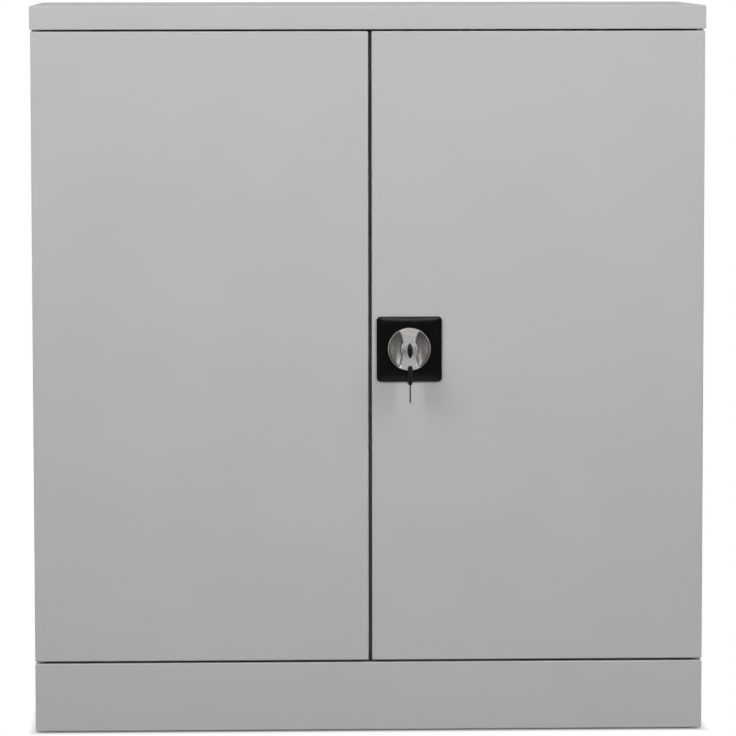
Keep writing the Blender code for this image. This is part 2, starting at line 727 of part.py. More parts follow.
def make_rod_guide(name, door, across, door_edge, direction, pivot):
    # A nylon block in the door's folded edge, with a slot that the flat rod slides in
    rod_middle = rod_front + ROD_SHEET / 2
    slot_half_width, slot_half_depth = ROD_WIDTH / 2 + FIT, ROD_SHEET / 2 + FIT
    neck_half_width, neck_half_depth = slot_half_width + GUIDE_WALL, slot_half_depth + GUIDE_WALL
    middle = Vector((lock_x + across, front_y + rod_middle, door_edge))
    inward = -direction

    def block(block_name, half_width, half_depth, start, end):
        levels = sorted((inward * start, inward * end))
        return box(block_name, middle + Vector((-half_width, -half_depth, levels[0])),
                   middle + Vector((half_width, half_depth, levels[1])))

    head_start = SHEET + FIT
    head_end = head_start + GUIDE_HEAD_HEIGHT
    guide = block(name, GUIDE_HEAD_WIDTH / 2, GUIDE_HEAD_DEPTH / 2, head_start, head_end)
    neck = block(name + "_neck", neck_half_width, neck_half_depth, 0, head_end - GUIDE_WALL)
    slot = block(name + "_slot", slot_half_width, slot_half_depth, -OVERRUN, head_end + OVERRUN)
    hole = block(name + "_hole", neck_half_width + FIT, neck_half_depth + FIT, -OVERRUN,
                 SHEET + OVERRUN)
    combine(guide, make_tool(neck), "UNION")
    combine(guide, make_tool(slot), "DIFFERENCE")
    combine(door, make_tool(hole), "DIFFERENCE")
    finish(guide, "white_nylon", pivot)


# Turn handle, latch cam and rods

def make_scoop(side_name, side):
    shape = bmesh.new()
    bmesh.ops.create_uvsphere(shape, u_segments=ROUND_STEPS, v_segments=SMALL_STEPS, radius=1)
    bmesh.ops.scale(shape, vec=(SCOOP_HALF_WIDTH, SCOOP_HALF_HEIGHT, SCOOP_DEPTH), verts=shape.verts)
    mesh = bpy.data.meshes.new("finger_scoop_" + side_name)
    shape.to_mesh(mesh)
    shape.free()
    scoop = add_object(mesh.name, mesh, lock_point(side * SCOOP_OFFSET, 0, knob_face), FACING_OUT)
    rim = lock_disc(f"scoop_limit_{side_name}", KNOB_RADIUS - KNOB_RIM, knob_face + 2 * SCOOP_DEPTH,
                    knob_face - 2 * SCOOP_DEPTH, FINE_STEPS)
    boss = lock_disc(f"scoop_boss_{side_name}", BOSS_RADIUS, knob_face + 3 * SCOOP_DEPTH,
                     knob_face - 3 * SCOOP_DEPTH)
    combine(scoop, make_tool(rim), "INTERSECT")
    combine(scoop, make_tool(boss), "DIFFERENCE")
    return make_tool(scoop)


def make_turn_handle(pivot):
    bore_radius = BARREL_RADIUS + FIT
    profile = [(0, SHAFT_FLOOR - HOUSING_DEPTH), (bore_radius, SHAFT_FLOOR - HOUSING_DEPTH),
               (bore_radius, knob_face), (KNOB_RADIUS - KNOB_EDGE, knob_face),
               (KNOB_RADIUS, knob_face - KNOB_EDGE), (KNOB_RADIUS, -knob_back),
               (SHAFT_RADIUS, -knob_back), (SHAFT_RADIUS, -HOUSING_DEPTH), (0, -HOUSING_DEPTH)]
    handle = turned("turn_handle", profile, lock_point(0, 0, 0), FACING_OUT, FINE_STEPS)
    combine(handle, make_scoop("left", -1), "DIFFERENCE")
    combine(handle, make_scoop("right", 1), "DIFFERENCE")
    half = SPINDLE_SIZE / 2
    spindle = box("turn_handle_spindle", lock_point(-half, -half, -HOUSING_DEPTH + SHAFT_FLOOR / 2),
                  lock_point(half, half, -tongue_back))
    stud = lock_disc("turn_handle_stud", STUD_RADIUS, -tongue_back + CAM_SHEET,
                     -nut_front - NUT_HEIGHT - STUD_END, SMALL_STEPS)
    combine(spindle, make_tool(stud), "UNION")
    combine(handle, make_tool(spindle), "UNION")
    finish(handle, "satin_zinc", pivot)


def make_latch_cam(pivot):
    # One casting: crank arms with a pin for each rod, a hub, and the tongue behind them
    pin_x = CRANK_RADIUS * cos(CRANK_REST_ANGLE)
    pin_up = CRANK_RADIUS * sin(CRANK_REST_ANGLE)
    cam = flat_plate("latch_cam",
                     [round_ended_outline(-pin_x, -pin_up, pin_x, pin_up, CRANK_WIDTH / 2)],
                     CAM_SHEET, lock_point(0, 0, -crank_front - CAM_SHEET / 2), FACING_OUT)
    hub = lock_disc("latch_cam_hub", HUB_RADIUS, -crank_front, -tongue_back, ROUND_STEPS)
    combine(cam, make_tool(hub), "UNION")
    tongue_length = lock_x + TONGUE_REACH - TONGUE_WIDTH / 2
    tongue = flat_plate("latch_cam_tongue",
                        [round_ended_outline(0, 0, 0, tongue_length, TONGUE_WIDTH / 2)],
                        CAM_SHEET, lock_point(0, 0, -TONGUE_PLANE - CAM_SHEET / 2), FACING_OUT)
    combine(cam, make_tool(tongue), "UNION")
    pin_back = rod_front + ROD_SHEET + 2 * FIT
    for name, sign in (("upper", 1), ("lower", -1)):
        profile = [(0, -crank_front - CAM_SHEET / 2), (CRANK_PIN_RADIUS, -crank_front - CAM_SHEET / 2),
                   (CRANK_PIN_RADIUS, -pin_back), (0, -pin_back)]
        pin = turned(f"latch_cam_{name}_pin", profile, lock_point(sign * pin_x, sign * pin_up, 0),
                     FACING_OUT, SMALL_STEPS)
        combine(cam, make_tool(pin), "UNION")
    half = SPINDLE_SIZE / 2 + FIT
    square = box("latch_cam_square", lock_point(-half, -half, 0),
                 lock_point(half, half, -tongue_back - OVERRUN))
    combine(cam, make_tool(square), "DIFFERENCE")
    finish(cam, "bright_zinc", pivot)


def make_handle_nut(pivot):
    corner_radius = NUT_FLATS / sqrt(3)
    corners = [(corner_radius * cos(step * pi / 3), corner_radius * sin(step * pi / 3))
               for step in range(6)]
    bore = arc(0, 0, STUD_RADIUS + FIT, 0, 2 * pi, SMALL_STEPS)[:-1]
    nut = flat_plate("handle_nut", [corners, bore], NUT_HEIGHT,
                     lock_point(0, 0, -nut_front - NUT_HEIGHT / 2), FACING_OUT)
    finish(nut, "bright_zinc", pivot)


def make_rod(name, side, door_edge, pivot):
    # A flat bar from its crank slot to the door's edge, beside the hub
    near_x = CRANK_RADIUS * cos(CRANK_REST_ANGLE)
    slot_up = side * CRANK_RADIUS * sin(CRANK_REST_ANGLE)
    slot_radius = CRANK_PIN_RADIUS + SLOT_LIFT_PLAY
    slot_start = near_x - CRANK_PIN_RADIUS - SLOT_SIDE_PLAY + slot_radius
    slot_end = CRANK_RADIUS + CRANK_PIN_RADIUS + SLOT_SIDE_PLAY - slot_radius
    slot = round_ended_outline(side * slot_start, slot_up, side * slot_end, slot_up, slot_radius)
    edge_up = door_edge - lock_z
    tail = slot_up - side * (slot_radius + ROD_TAIL)
    middle = side * ROD_OFFSET
    bar = rounded_outline(middle - ROD_WIDTH / 2, min(edge_up, tail), middle + ROD_WIDTH / 2,
                          max(edge_up, tail), ROD_CORNER)
    rod = flat_plate(name, [bar, slot], ROD_SHEET,
                     lock_point(0, 0, -rod_front - ROD_SHEET / 2), FACING_OUT)
    finish(rod, "bright_zinc", pivot)


# Lock barrel, plug, keys and ring

def make_barrel(pivot):
    barrel = turned("lock_barrel",
                    [(BARREL_RADIUS, plug_face), (BARREL_RADIUS, -barrel_back),
                     (PLUG_RADIUS + FIT, -barrel_back), (PLUG_RADIUS + FIT, plug_face)],
                    lock_point(0, 0, 0), FACING_OUT, ROUND_STEPS, ring=True)
    finish(barrel, "satin_zinc", pivot)


def make_plug(pivot):
    plug = lock_disc("key_plug", PLUG_RADIUS, plug_face, -barrel_back)
    half_slot, half_width = KEY_BLADE / 2 + FIT, KEY_BLADE_WIDTH / 2 + FIT
    keyway = box("key_plug_keyway", lock_point(-half_slot, -half_width, plug_face + OVERRUN),
                 lock_point(half_slot, half_width, -barrel_back - OVERRUN))
    combine(plug, make_tool(keyway), "DIFFERENCE")
    finish(plug, "satin_zinc", pivot)


def make_key(prefix, hole_centre, rotation, pivot):
    # Local X runs from the middle of the bow's hole to the blade's tip, local Z through the bow
    bow_start = -KEY_HOLE_INSET
    bow_finish = bow_start + KEY_BOW_LENGTH
    half_width = KEY_BOW_WIDTH / 2
    hole = arc(0, 0, KEY_HOLE_RADIUS, 0, 2 * pi, SMALL_STEPS)[:-1]
    bow = flat_plate(prefix + "_bow",
                     [rounded_outline(bow_start, -half_width, bow_finish, half_width,
                                      KEY_BOW_CORNER)],
                     KEY_BOW_THICKNESS, hole_centre, rotation)
    add_bevel(bow, KEY_BOW_EDGE)
    through = flat_plate(prefix + "_bow_hole", [hole], KEY_BOW_THICKNESS + 2 * OVERRUN,
                         hole_centre, rotation)
    combine(bow, make_tool(through), "DIFFERENCE")

    blade_half = KEY_BLADE_WIDTH / 2
    blade_start, blade_end = bow_finish - KEY_SOCKET, bow_finish + KEY_SHOW
    blade_outline = [(blade_start, -blade_half), (blade_end - KEY_TIP, -blade_half),
                     (blade_end, KEY_TIP - blade_half), (blade_end, blade_half - KEY_TIP),
                     (blade_end - KEY_TIP, blade_half), (blade_start, blade_half)]
    blade = flat_plate(prefix + "_blade", [blade_outline], KEY_BLADE, hole_centre, rotation)
    socket_half = blade_half + FIT
    socket_outline = [(blade_start - FIT, -socket_half), (bow_finish + OVERRUN, -socket_half),
                      (bow_finish + OVERRUN, socket_half), (blade_start - FIT, socket_half)]
    socket = flat_plate(prefix + "_bow_socket", [socket_outline], KEY_BLADE + 2 * FIT,
                        hole_centre, rotation)
    combine(bow, make_tool(socket), "DIFFERENCE")
    finish(bow, "black_plastic", pivot)
    finish(blade, "bright_zinc", pivot)


def make_key_ring(ring_up, pivot):
    bpy.ops.mesh.primitive_torus_add(major_radius=RING_RADIUS, minor_radius=RING_WIRE_RADIUS,
                                     major_segments=FINE_STEPS, minor_segments=SMALL_STEPS // 2,
                                     location=lock_point(0, ring_up, key_hole_proud),
                                     rotation=FACING_OUT)
    ring = bpy.context.object
    ring.name = "key_ring"
    for collection in list(ring.users_collection):
        collection.objects.unlink(ring)
    PARTS.objects.link(ring)
    finish(ring, "bright_zinc", pivot)


# Assembly

def make_lock(door, door_pivot):
    make_lock_housing(door, door_pivot)
    make_rod_guide("rod_guide_upper", door, ROD_OFFSET, door_top, 1, door_pivot)
    make_rod_guide("rod_guide_lower", door, -ROD_OFFSET, door_bottom, -1, door_pivot)
    handle_axis = add_pivot("handle_axis", lock_point(0, 0, 0), door_pivot)
    make_turn_handle(handle_axis)
    make_barrel(handle_axis)
    make_latch_cam(handle_axis)
    make_handle_nut(handle_axis)
    for name, side, door_edge in (("upper", 1, door_top), ("lower", -1, door_bottom)):
        slide = add_pivot(f"rod_{name}_slide", lock_point(side * ROD_OFFSET, 0, -rod_front),
                          door_pivot)
        make_rod(f"lock_rod_{name}", side, door_edge, slide)
    return handle_axis


def make_keys(handle_axis):
    # The ring's wire rests in both bows' holes, clear of their rims all the way through
    half_bow = KEY_BOW_THICKNESS / 2
    sag = RING_RADIUS - sqrt(RING_RADIUS ** 2 - half_bow ** 2)
    wire_drop = KEY_HOLE_RADIUS - RING_WIRE_RADIUS - FIT - sag
    ring_low = wire_drop + 2 * RING_RADIUS
    key_axis = add_pivot("key_axis", lock_point(0, 0, plug_face), handle_axis)
    make_plug(key_axis)
    make_key("key", lock_point(0, 0, key_hole_proud), (pi / 2, 0, pi / 2), key_axis)
    ring_pivot = add_pivot("ring_pivot", lock_point(0, -wire_drop, key_hole_proud), key_axis)
    make_key_ring(-wire_drop - RING_RADIUS, ring_pivot)
    spare_pivot = add_pivot("spare_key_pivot", lock_point(0, -ring_low, key_hole_proud), ring_pivot)
    make_key("spare_key", lock_point(0, -ring_low - wire_drop, key_hole_proud), (0, pi / 2, 0),
             spare_pivot)


def make_doors():
    for side_name, side, edge in (("left", -1, left_door_edge), ("right", 1, right_door_edge)):
        pivot = add_pivot(side_name + "_door_hinge", (side * pivot_x, pivot_y, door_bottom))
        door = make_door(side_name, side, edge, pivot)
        for end in ("bottom", "top"):
            make_hinge(side_name, side, end, pivot)
        if side_name == "left":
            make_meeting_strip(pivot)
        else:
            make_keys(make_lock(door, pivot))


clear_scene()
PARTS = new_collection("storage_cupboard")
CUTTERS = new_collection("cutters")
MATERIALS = {name: new_material(name, *values) for name, values in FINISHES.items()}
make_carcass()
make_interior()
make_doors()
make_buffers()
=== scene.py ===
import json
from math import cos, hypot, pi, radians, sin, sqrt

import bmesh
import bpy
from mathutils import Matrix, Vector


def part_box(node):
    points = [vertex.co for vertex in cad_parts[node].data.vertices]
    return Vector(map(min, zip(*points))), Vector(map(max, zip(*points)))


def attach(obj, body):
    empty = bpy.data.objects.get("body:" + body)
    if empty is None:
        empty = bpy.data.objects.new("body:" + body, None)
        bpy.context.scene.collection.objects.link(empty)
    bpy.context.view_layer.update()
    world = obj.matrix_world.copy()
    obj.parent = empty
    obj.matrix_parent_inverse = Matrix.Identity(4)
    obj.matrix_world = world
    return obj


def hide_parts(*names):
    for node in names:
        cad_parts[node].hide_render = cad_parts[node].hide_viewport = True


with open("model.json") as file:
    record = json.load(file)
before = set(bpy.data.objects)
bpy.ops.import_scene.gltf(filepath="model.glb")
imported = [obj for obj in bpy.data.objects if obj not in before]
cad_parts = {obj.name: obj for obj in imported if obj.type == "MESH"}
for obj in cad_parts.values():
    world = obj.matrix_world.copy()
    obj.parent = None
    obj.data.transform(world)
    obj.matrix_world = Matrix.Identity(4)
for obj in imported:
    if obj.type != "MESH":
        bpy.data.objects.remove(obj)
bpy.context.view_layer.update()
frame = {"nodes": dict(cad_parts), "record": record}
print("frame:", len(frame["nodes"]), "pieces")

mm = 0.001
bodyOf = {node: body for body, nodes in frame["record"]["behaviour"]["bodies"].items()
          for node in nodes}


# Small helpers

def corners(node):
    low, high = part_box(node)
    return Vector(low), Vector(high)


def linearColour(code):  # an sRGB hex code as the linear values that the shaders mix
    channels = [int(code[place:place + 2], 16) / 255 for place in (0, 2, 4)]
    return [value / 12.92 if value <= 0.04045 else ((value + 0.055) / 1.055) ** 2.4
            for value in channels] + [1.0]


def addNode(tree, kind, links=None, **settings):
    # settings are the node's own properties; links fill its inputs, by name or number, with a
    # socket or a plain value
    node = tree.nodes.new(kind)
    for name, value in settings.items():
        setattr(node, name, value)
    for name, value in (links or {}).items():
        if isinstance(value, bpy.types.NodeSocket):
            tree.links.new(value, node.inputs[name])
        else:
            node.inputs[name].default_value = value
    return node


def newObject(name, data):
    made = bpy.data.objects.new(name, data)
    bpy.context.scene.collection.objects.link(made)
    return made


def meshFrom(name, shape):
    mesh = bpy.data.meshes.new(name)
    shape.to_mesh(mesh)
    shape.free()
    return mesh


def applied(piece):  # the mesh as its modifiers leave it, with the modifiers gone
    graph = bpy.context.evaluated_depsgraph_get()
    mesh = bpy.data.meshes.new_from_object(piece.evaluated_get(graph))
    piece.modifiers.clear()
    piece.data = mesh
    return mesh


def addPiece(name, mesh, material, body, replaced=(), smoothUnder=35, flatFaces=False):
    piece = newObject(name, mesh)
    mesh.materials.clear()
    mesh.materials.append(material)
    mesh.shade_smooth()
    mesh.set_sharp_from_angle(angle=radians(smoothUnder))
    if flatFaces:  # broad faces keep their own normals beside the soft edges
        piece.modifiers.new("flatFaces", "WEIGHTED_NORMAL").keep_sharp = True
        applied(piece)
    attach(piece, body)
    if replaced:
        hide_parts(*replaced)


def cutAway(mesh, cutters):  # takes closed shapes out of a mesh
    piece = newObject("beingCut", mesh)
    tools = [newObject("cutter", cutter) for cutter in cutters]
    for tool in tools:
        cut = piece.modifiers.new("cut", "BOOLEAN")
        cut.operation = "DIFFERENCE"
        cut.object = tool
    result = applied(piece)
    for spare in [piece, *tools]:
        bpy.data.objects.remove(spare, do_unlink=True)
    return result


def ringStack(name, rings, closeLoop=False):
    # skins a pile of rings that all have the same number of points, and caps its ends unless the
    # last ring joins the first
    shape = bmesh.new()
    loops = [[shape.verts.new(point) for point in ring] for ring in rings]
    pairs = list(zip(loops, loops[1:]))
    if closeLoop:
        pairs.append((loops[-1], loops[0]))
    count = len(loops[0])
    for lower, upper in pairs:
        for step in range(count):
            following = (step + 1) % count
            shape.faces.new((lower[step], lower[following], upper[following], upper[step]))
    if not closeLoop:
        shape.faces.new(loops[0])
        shape.faces.new(loops[-1])
    bmesh.ops.recalc_face_normals(shape, faces=shape.faces)
    return meshFrom(name, shape)


def boxMesh(name, low, high):
    shape = bmesh.new()
    bmesh.ops.create_cube(shape, size=1)
    bmesh.ops.scale(shape, vec=Vector(high) - Vector(low), verts=shape.verts)
    bmesh.ops.translate(shape, vec=(Vector(low) + Vector(high)) / 2, verts=shape.verts)
    return meshFrom(name, shape)


def joined(name, meshes):
    shape = bmesh.new()
    for mesh in meshes:
        shape.from_mesh(mesh)
    return meshFrom(name, shape)


# Finishes

def newFinish(name, look, **sockets):
    material = bpy.data.materials.new(name)
    material.use_nodes = True
    tree = material.node_tree
    shader = tree.nodes["Principled BSDF"]
    shader.inputs["Base Color"].default_value = linearColour(look["colour"])
    for socket, value in sockets.items():
        shader.inputs[socket.replace("_", " ")].default_value = value
    place = addNode(tree, "ShaderNodeTexCoord").outputs["Object"]
    scaled = addNode(tree, "ShaderNodeMapping", {"Vector": place,
                                                 "Scale": look.get("stretch", (1, 1, 1))})
    return material, tree, shader, scaled.outputs["Vector"]


def pattern(tree, place, size, low=0, high=1, detail=2, span=(0.3, 0.7)):
    # noise of about the given size in metres; its usual span is spread out from low to high
    noise = addNode(tree, "ShaderNodeTexNoise", {"Vector": place, "Scale": 1 / size,
                                                 "Detail": detail})
    return addNode(tree, "ShaderNodeMapRange", {
        "Value": noise.outputs["Fac"], "From Min": span[0], "From Max": span[1],
        "To Min": low, "To Max": high}).outputs["Result"]


def tint(tree, shader, share, first, second):
    # the base colour lies between two tints
    mix = addNode(tree, "ShaderNodeMix", {0: share, 6: linearColour(first),
                                          7: linearColour(second)}, data_type="RGBA")
    tree.links.new(mix.outputs[2], shader.inputs["Base Color"])
    return mix.outputs[2]


def skin(tree, shader, place, look, detail=2):
    # a sheen that wanders between two roughnesses, and a fine relief
    tree.links.new(pattern(tree, place, look["sheenCloud"], *look["sheen"]),
                   shader.inputs["Roughness"])
    relief(tree, shader, place, look, detail)


def relief(tree, shader, place, look, detail=2):
    grain = addNode(tree, "ShaderNodeTexNoise", {"Vector": place, "Scale": 1 / look["grain"],
                                                 "Detail": detail})
    bump = addNode(tree, "ShaderNodeBump", {
        "Height": grain.outputs["Fac"], "Distance": look["grainDepth"],
        "Strength": look.get("grainStrength", 1.0)})
    tree.links.new(bump.outputs["Normal"], shader.inputs["Normal"])


powderCoat = {"colour": "BFBFBF", "thinner": "BBBBBC", "thicker": "C2C2C2", "cloud": 160 * mm,
              "sheen": (0.60, 0.63), "sheenCloud": 30 * mm,
              "grain": 1.6 * mm, "grainDepth": 0.05 * mm, "grainStrength": 0.5}


def makePowderCoat():
    # Polyester powder baked on folded steel: an even light grey with a fine orange peel and a low
    # sheen. The real peel is about 0.8 mm across, and is drawn twice as coarse so that it shows.
    material, tree, shader, place = newFinish("powderCoatedSteel", powderCoat, IOR=1.5)
    cloud = pattern(tree, place, powderCoat["cloud"], span=(0, 1))
    tint(tree, shader, cloud, powderCoat["thinner"], powderCoat["thicker"])
    skin(tree, shader, place, powderCoat, 3)
    return material


glossyPlastic = {"colour": "0C0C0D", "sheen": (0.10, 0.20), "sheenCloud": 20 * mm,
                 "grain": 6 * mm, "grainDepth": 0.07 * mm}


def makeGlossyPlastic():
    # Black ABS from a polished mould: a deep gloss, slightly wavy where the moulding shrank
    material, tree, shader, place = newFinish("glossyMouldedAbs", glossyPlastic, IOR=1.54)
    skin(tree, shader, place, glossyPlastic, 3)
    return material


# the recess colour is painted shade laid into the knob's scoops, reached over recessDepth behind
# its face
satinNickel = {"colour": "E2E0DD", "darker": "D9D6D2", "lighter": "EAE8E6", "mottle": 4 * mm,
               "recess": "9E9B97", "recessDepth": (0.1 * mm, 3.5 * mm), "sheen": (0.50, 0.62),
               "grain": 0.7 * mm, "grainDepth": 0.02 * mm}


def makeSatinNickel():
    # Zinc die casting, nickel plated and tumbled: a warm silver satin with a faint pebbled skin,
    # and painted shade that darkens the colour deeper in the recesses
    look = satinNickel
    material, tree, shader, place = newFinish("satinNickelZinc", look, Metallic=1.0)
    tone = tint(tree, shader, pattern(tree, place, look["mottle"], detail=4),
                look["darker"], look["lighter"])
    # painted shade: the colour fades to the recess colour with depth behind the knob's face
    face = corners("turn_handle")[0].y
    depth = addNode(tree, "ShaderNodeSeparateXYZ", {"Vector": place}).outputs["Y"]
    recess = addNode(tree, "ShaderNodeMapRange", {
        "Value": depth, "From Min": face + look["recessDepth"][0],
        "From Max": face + look["recessDepth"][1], "To Min": 0, "To Max": 1})
    paintedRecessShade = addNode(tree, "ShaderNodeMix", {0: recess.outputs["Result"], 6: tone,
                                             7: linearColour(look["recess"])}, data_type="RGBA")
    tree.links.new(paintedRecessShade.outputs[2], shader.inputs["Base Color"])
    tree.links.new(pattern(tree, place, look["mottle"], *look["sheen"], 4),
                   shader.inputs["Roughness"])
    relief(tree, shader, place, look)
    return material


zincPlate = {"colour": "C4C7CA", "bluish": "B9C0C8", "warm": "CDCBC4", "cloud": 9 * mm,
             "sheen": (0.26, 0.40), "sheenCloud": 3 * mm,
             "grain": 0.8 * mm, "grainDepth": 0.01 * mm}


def makeZincPlate():
    # Steel plated with bright zinc and passivated: silver with faint blue and straw clouds
    material, tree, shader, place = newFinish("zincPlatedSteel", zincPlate, Metallic=1.0)
    tint(tree, shader, pattern(tree, place, zincPlate["cloud"], detail=3),
         zincPlate["bluish"], zincPlate["warm"])
    skin(tree, shader, place, zincPlate)
    return material


galvanised = {"colour": "B9BCBE", "darker": "A6AAAD", "lighter": "C8CBCD", "spangle": 7 * mm,
              "sheen": (0.34, 0.50), "grain": 1.2 * mm, "grainDepth": 0.01 * mm}


def makeGalvanised():
    # Hot-dip galvanised strip: dull silver with flat crystals, the spangle, some millimetres across
    look = galvanised
    material, tree, shader, place = newFinish("galvanisedStrip", look, Metallic=1.0)
    crystal = addNode(tree, "ShaderNodeTexVoronoi", {"Vector": place, "Scale": 1 / look["spangle"]})
    shade = addNode(tree, "ShaderNodeSeparateColor", {"Color": crystal.outputs["Color"]})
    tint(tree, shader, shade.outputs["Red"], look["darker"], look["lighter"])
    sheen = addNode(tree, "ShaderNodeMapRange", {
        "Value": shade.outputs["Red"], "To Min": look["sheen"][0], "To Max": look["sheen"][1]})
    tree.links.new(sheen.outputs["Result"], shader.inputs["Roughness"])
    relief(tree, shader, place, look)
    return material


nickelSilver = {"colour": "B5B1A8", "stretch": (1, 0.2, 0.2), "sheen": (0.22, 0.36),
                "sheenCloud": 0.5 * mm, "grain": 0.5 * mm, "grainDepth": 0.015 * mm}


def makeNickelSilver():
    # Key blanks are rolled nickel silver, milled along the blade: pale, with fine straight marks
    material, tree, shader, place = newFinish("milledNickelSilver", nickelSilver, Metallic=1.0)
    skin(tree, shader, place, nickelSilver)
    return material


bowPlastic = {"colour": "08080A", "sheen": (0.42, 0.56), "sheenCloud": 2 * mm,
              "grain": 0.6 * mm, "grainDepth": 0.03 * mm}


def makeBowPlastic():
    # Black polyamide moulded over the key's bow: spark-eroded texture, half matt
    material, tree, shader, place = newFinish("texturedPolyamide", bowPlastic, IOR=1.53,
                                              Specular_IOR_Level=0.2)
    skin(tree, shader, place, bowPlastic)
    return material


nylon = {"colour": "E9E6DC", "sheen": (0.38, 0.52), "sheenCloud": 4 * mm,
         "grain": 1.0 * mm, "grainDepth": 0.02 * mm}


def makeNylon():
    # Natural nylon: milky white, softly shining, with light carried a little way through it
    material, tree, shader, place = newFinish("naturalNylon", nylon, IOR=1.53,
                                              Subsurface_Weight=0.25, Subsurface_Scale=1.5 * mm)
    skin(tree, shader, place, nylon)
    return material


rubber = {"colour": "1A1A1A", "darker": "151515", "lighter": "242424", "cloud": 3 * mm,
          "sheen": (0.72, 0.90), "sheenCloud": 1.5 * mm, "grain": 0.7 * mm, "grainDepth": 0.04 * mm}


def makeRubber():
    # Nitrile rubber buffers: deep grey black and matt, with a dry bloom
    material, tree, shader, place = newFinish("nitrileRubber", rubber, IOR=1.52)
    bloom = pattern(tree, place, rubber["cloud"], detail=4, span=(0, 1))
    tint(tree, shader, bloom, rubber["darker"], rubber["lighter"])
    skin(tree, shader, place, rubber)
    return material


finishes = {
    "paint": makePowderCoat(), "plate": makeGlossyPlastic(), "satin": makeSatinNickel(),
    "zinc": makeZincPlate(), "strip": makeGalvanised(), "key": makeNickelSilver(),
    "bow": makeBowPlastic(), "nylon": makeNylon(), "rubber": makeRubber(),
}
finishOfSlot = {"light_grey_powder_coat": "paint", "black_plastic": "bow", "satin_zinc": "satin",
                "bright_zinc": "zinc", "white_nylon": "nylon", "black_rubber": "rubber"}


def paintNodes():
    for entry in frame["record"]["subparts"]:
        node, slotName = entry["node"], entry["material_slot"]
        key = finishOfSlot[slotName]
        if node.startswith(("upright", "shelf_clip")):
            key = "strip"
        materials = frame["nodes"][node].data.materials
        materials.clear()
        materials.append(finishes[key])


paintNodes()
print("finishes:", len(finishes))


# The frame's own shapes with soft edges: folded sheet and the small pieces of hinges, feet and lock

softened = {"sheetEdge": 0.2 * mm, "edgeSteps": 2, "mergeUnder": 0.01 * mm, "flatUnder": 1,
            "sharpOver": 50,
            "smallEdges": {"glide_": 0.3 * mm, "buffer_": 0.4 * mm, "hinge_bush_": 0.2 * mm,
                           "hinge_pin_": 0.3 * mm, "handle_nut": 0.3 * mm}}


def soften(node, edge, suffix):
    source = frame["nodes"][node]
    shape = bmesh.new()
    shape.from_mesh(source.data)
    bmesh.ops.remove_doubles(shape, verts=shape.verts, dist=softened["mergeUnder"])
    bmesh.ops.dissolve_limit(shape, angle_limit=radians(softened["flatUnder"]), verts=shape.verts,
                             edges=shape.edges)
    piece = newObject(node + suffix, meshFrom(node, shape))
    bevel = piece.modifiers.new("cutEdges", "BEVEL")
    bevel.width = edge
    bevel.segments = softened["edgeSteps"]
    bevel.limit_method = "ANGLE"
    bevel.angle_limit = radians(softened["sharpOver"])
    mesh = applied(piece)
    bpy.data.objects.remove(piece, do_unlink=True)
    addPiece(node + suffix, mesh, source.data.materials[0], bodyOf[node], [node],
             smoothUnder=softened["sharpOver"], flatFaces=True)


sheetNodes = [node for node in bodyOf if node.startswith(
    ("side_panel", "back_panel", "top_cap", "top_rail", "door_", "base_panel", "plinth", "shelf_",
     "upright", "meeting_strip", "lock_clamp", "lock_rod", "latch_cam", "rod_guide"))]
for sheetNode in sheetNodes:
    soften(sheetNode, softened["sheetEdge"], "Sheet")
smallNodes = [(node, edge) for start, edge in softened["smallEdges"].items()
              for node in bodyOf if node.startswith(start)]
for smallNode, smallEdge in smallNodes:
    soften(smallNode, smallEdge, "Soft")
print("sheet pieces:", len(sheetNodes), "small pieces:", len(smallNodes))


# The lock's places in the frame

knobLow, knobHigh = corners("turn_handle")
plateLow, plateHigh = corners("lock_housing")
knobRadius = (knobHigh.x - knobLow.x) / 2
doorFace = corners("door_right")[0].y
lockX, lockZ = (plateLow.x + plateHigh.x) / 2, (plateLow.z + plateHigh.z) / 2


def atLock(across, up, proud):
    return Vector((lockX + across, doorFace - proud, lockZ + up))


def polarRing(radiusAt, proud, count):
    # a ring about the lock's axis; radiusAt is a radius or gives one for an angle
    ring = []
    for step in range(count):
        angle = 2 * pi * step / count
        radius = radiusAt(angle) if callable(radiusAt) else radiusAt
        ring.append(atLock(radius * cos(angle), radius * sin(angle), proud))
    return ring


def roundedSquare(half, corner):
    # the distance from the middle of a square with rounded corners to its edge, at an angle
    def radiusAt(angle):
        dx, dz = abs(cos(angle)), abs(sin(angle))
        reach = half / max(dx, dz)
        x, z = dx * reach, dz * reach
        inner = half - corner
        if min(x, z) <= inner or corner == 0:
            return reach
        along = inner * (dx + dz)
        return along + sqrt(along ** 2 - 2 * inner ** 2 + corner ** 2)
    return radiusAt


# Lock plate

lockPlate = {"corner": 5 * mm, "edge": 1.2 * mm, "crown": 1.2 * mm, "wellLip": 0.4 * mm,
             "wellPlay": 0.8 * mm, "boxHalf": 33 * mm, "boreRadius": 12.3 * mm, "floor": 4.5 * mm,
             "overDoor": 0.3 * mm, "points": 240, "faceRings": 12, "edgeRings": 5}


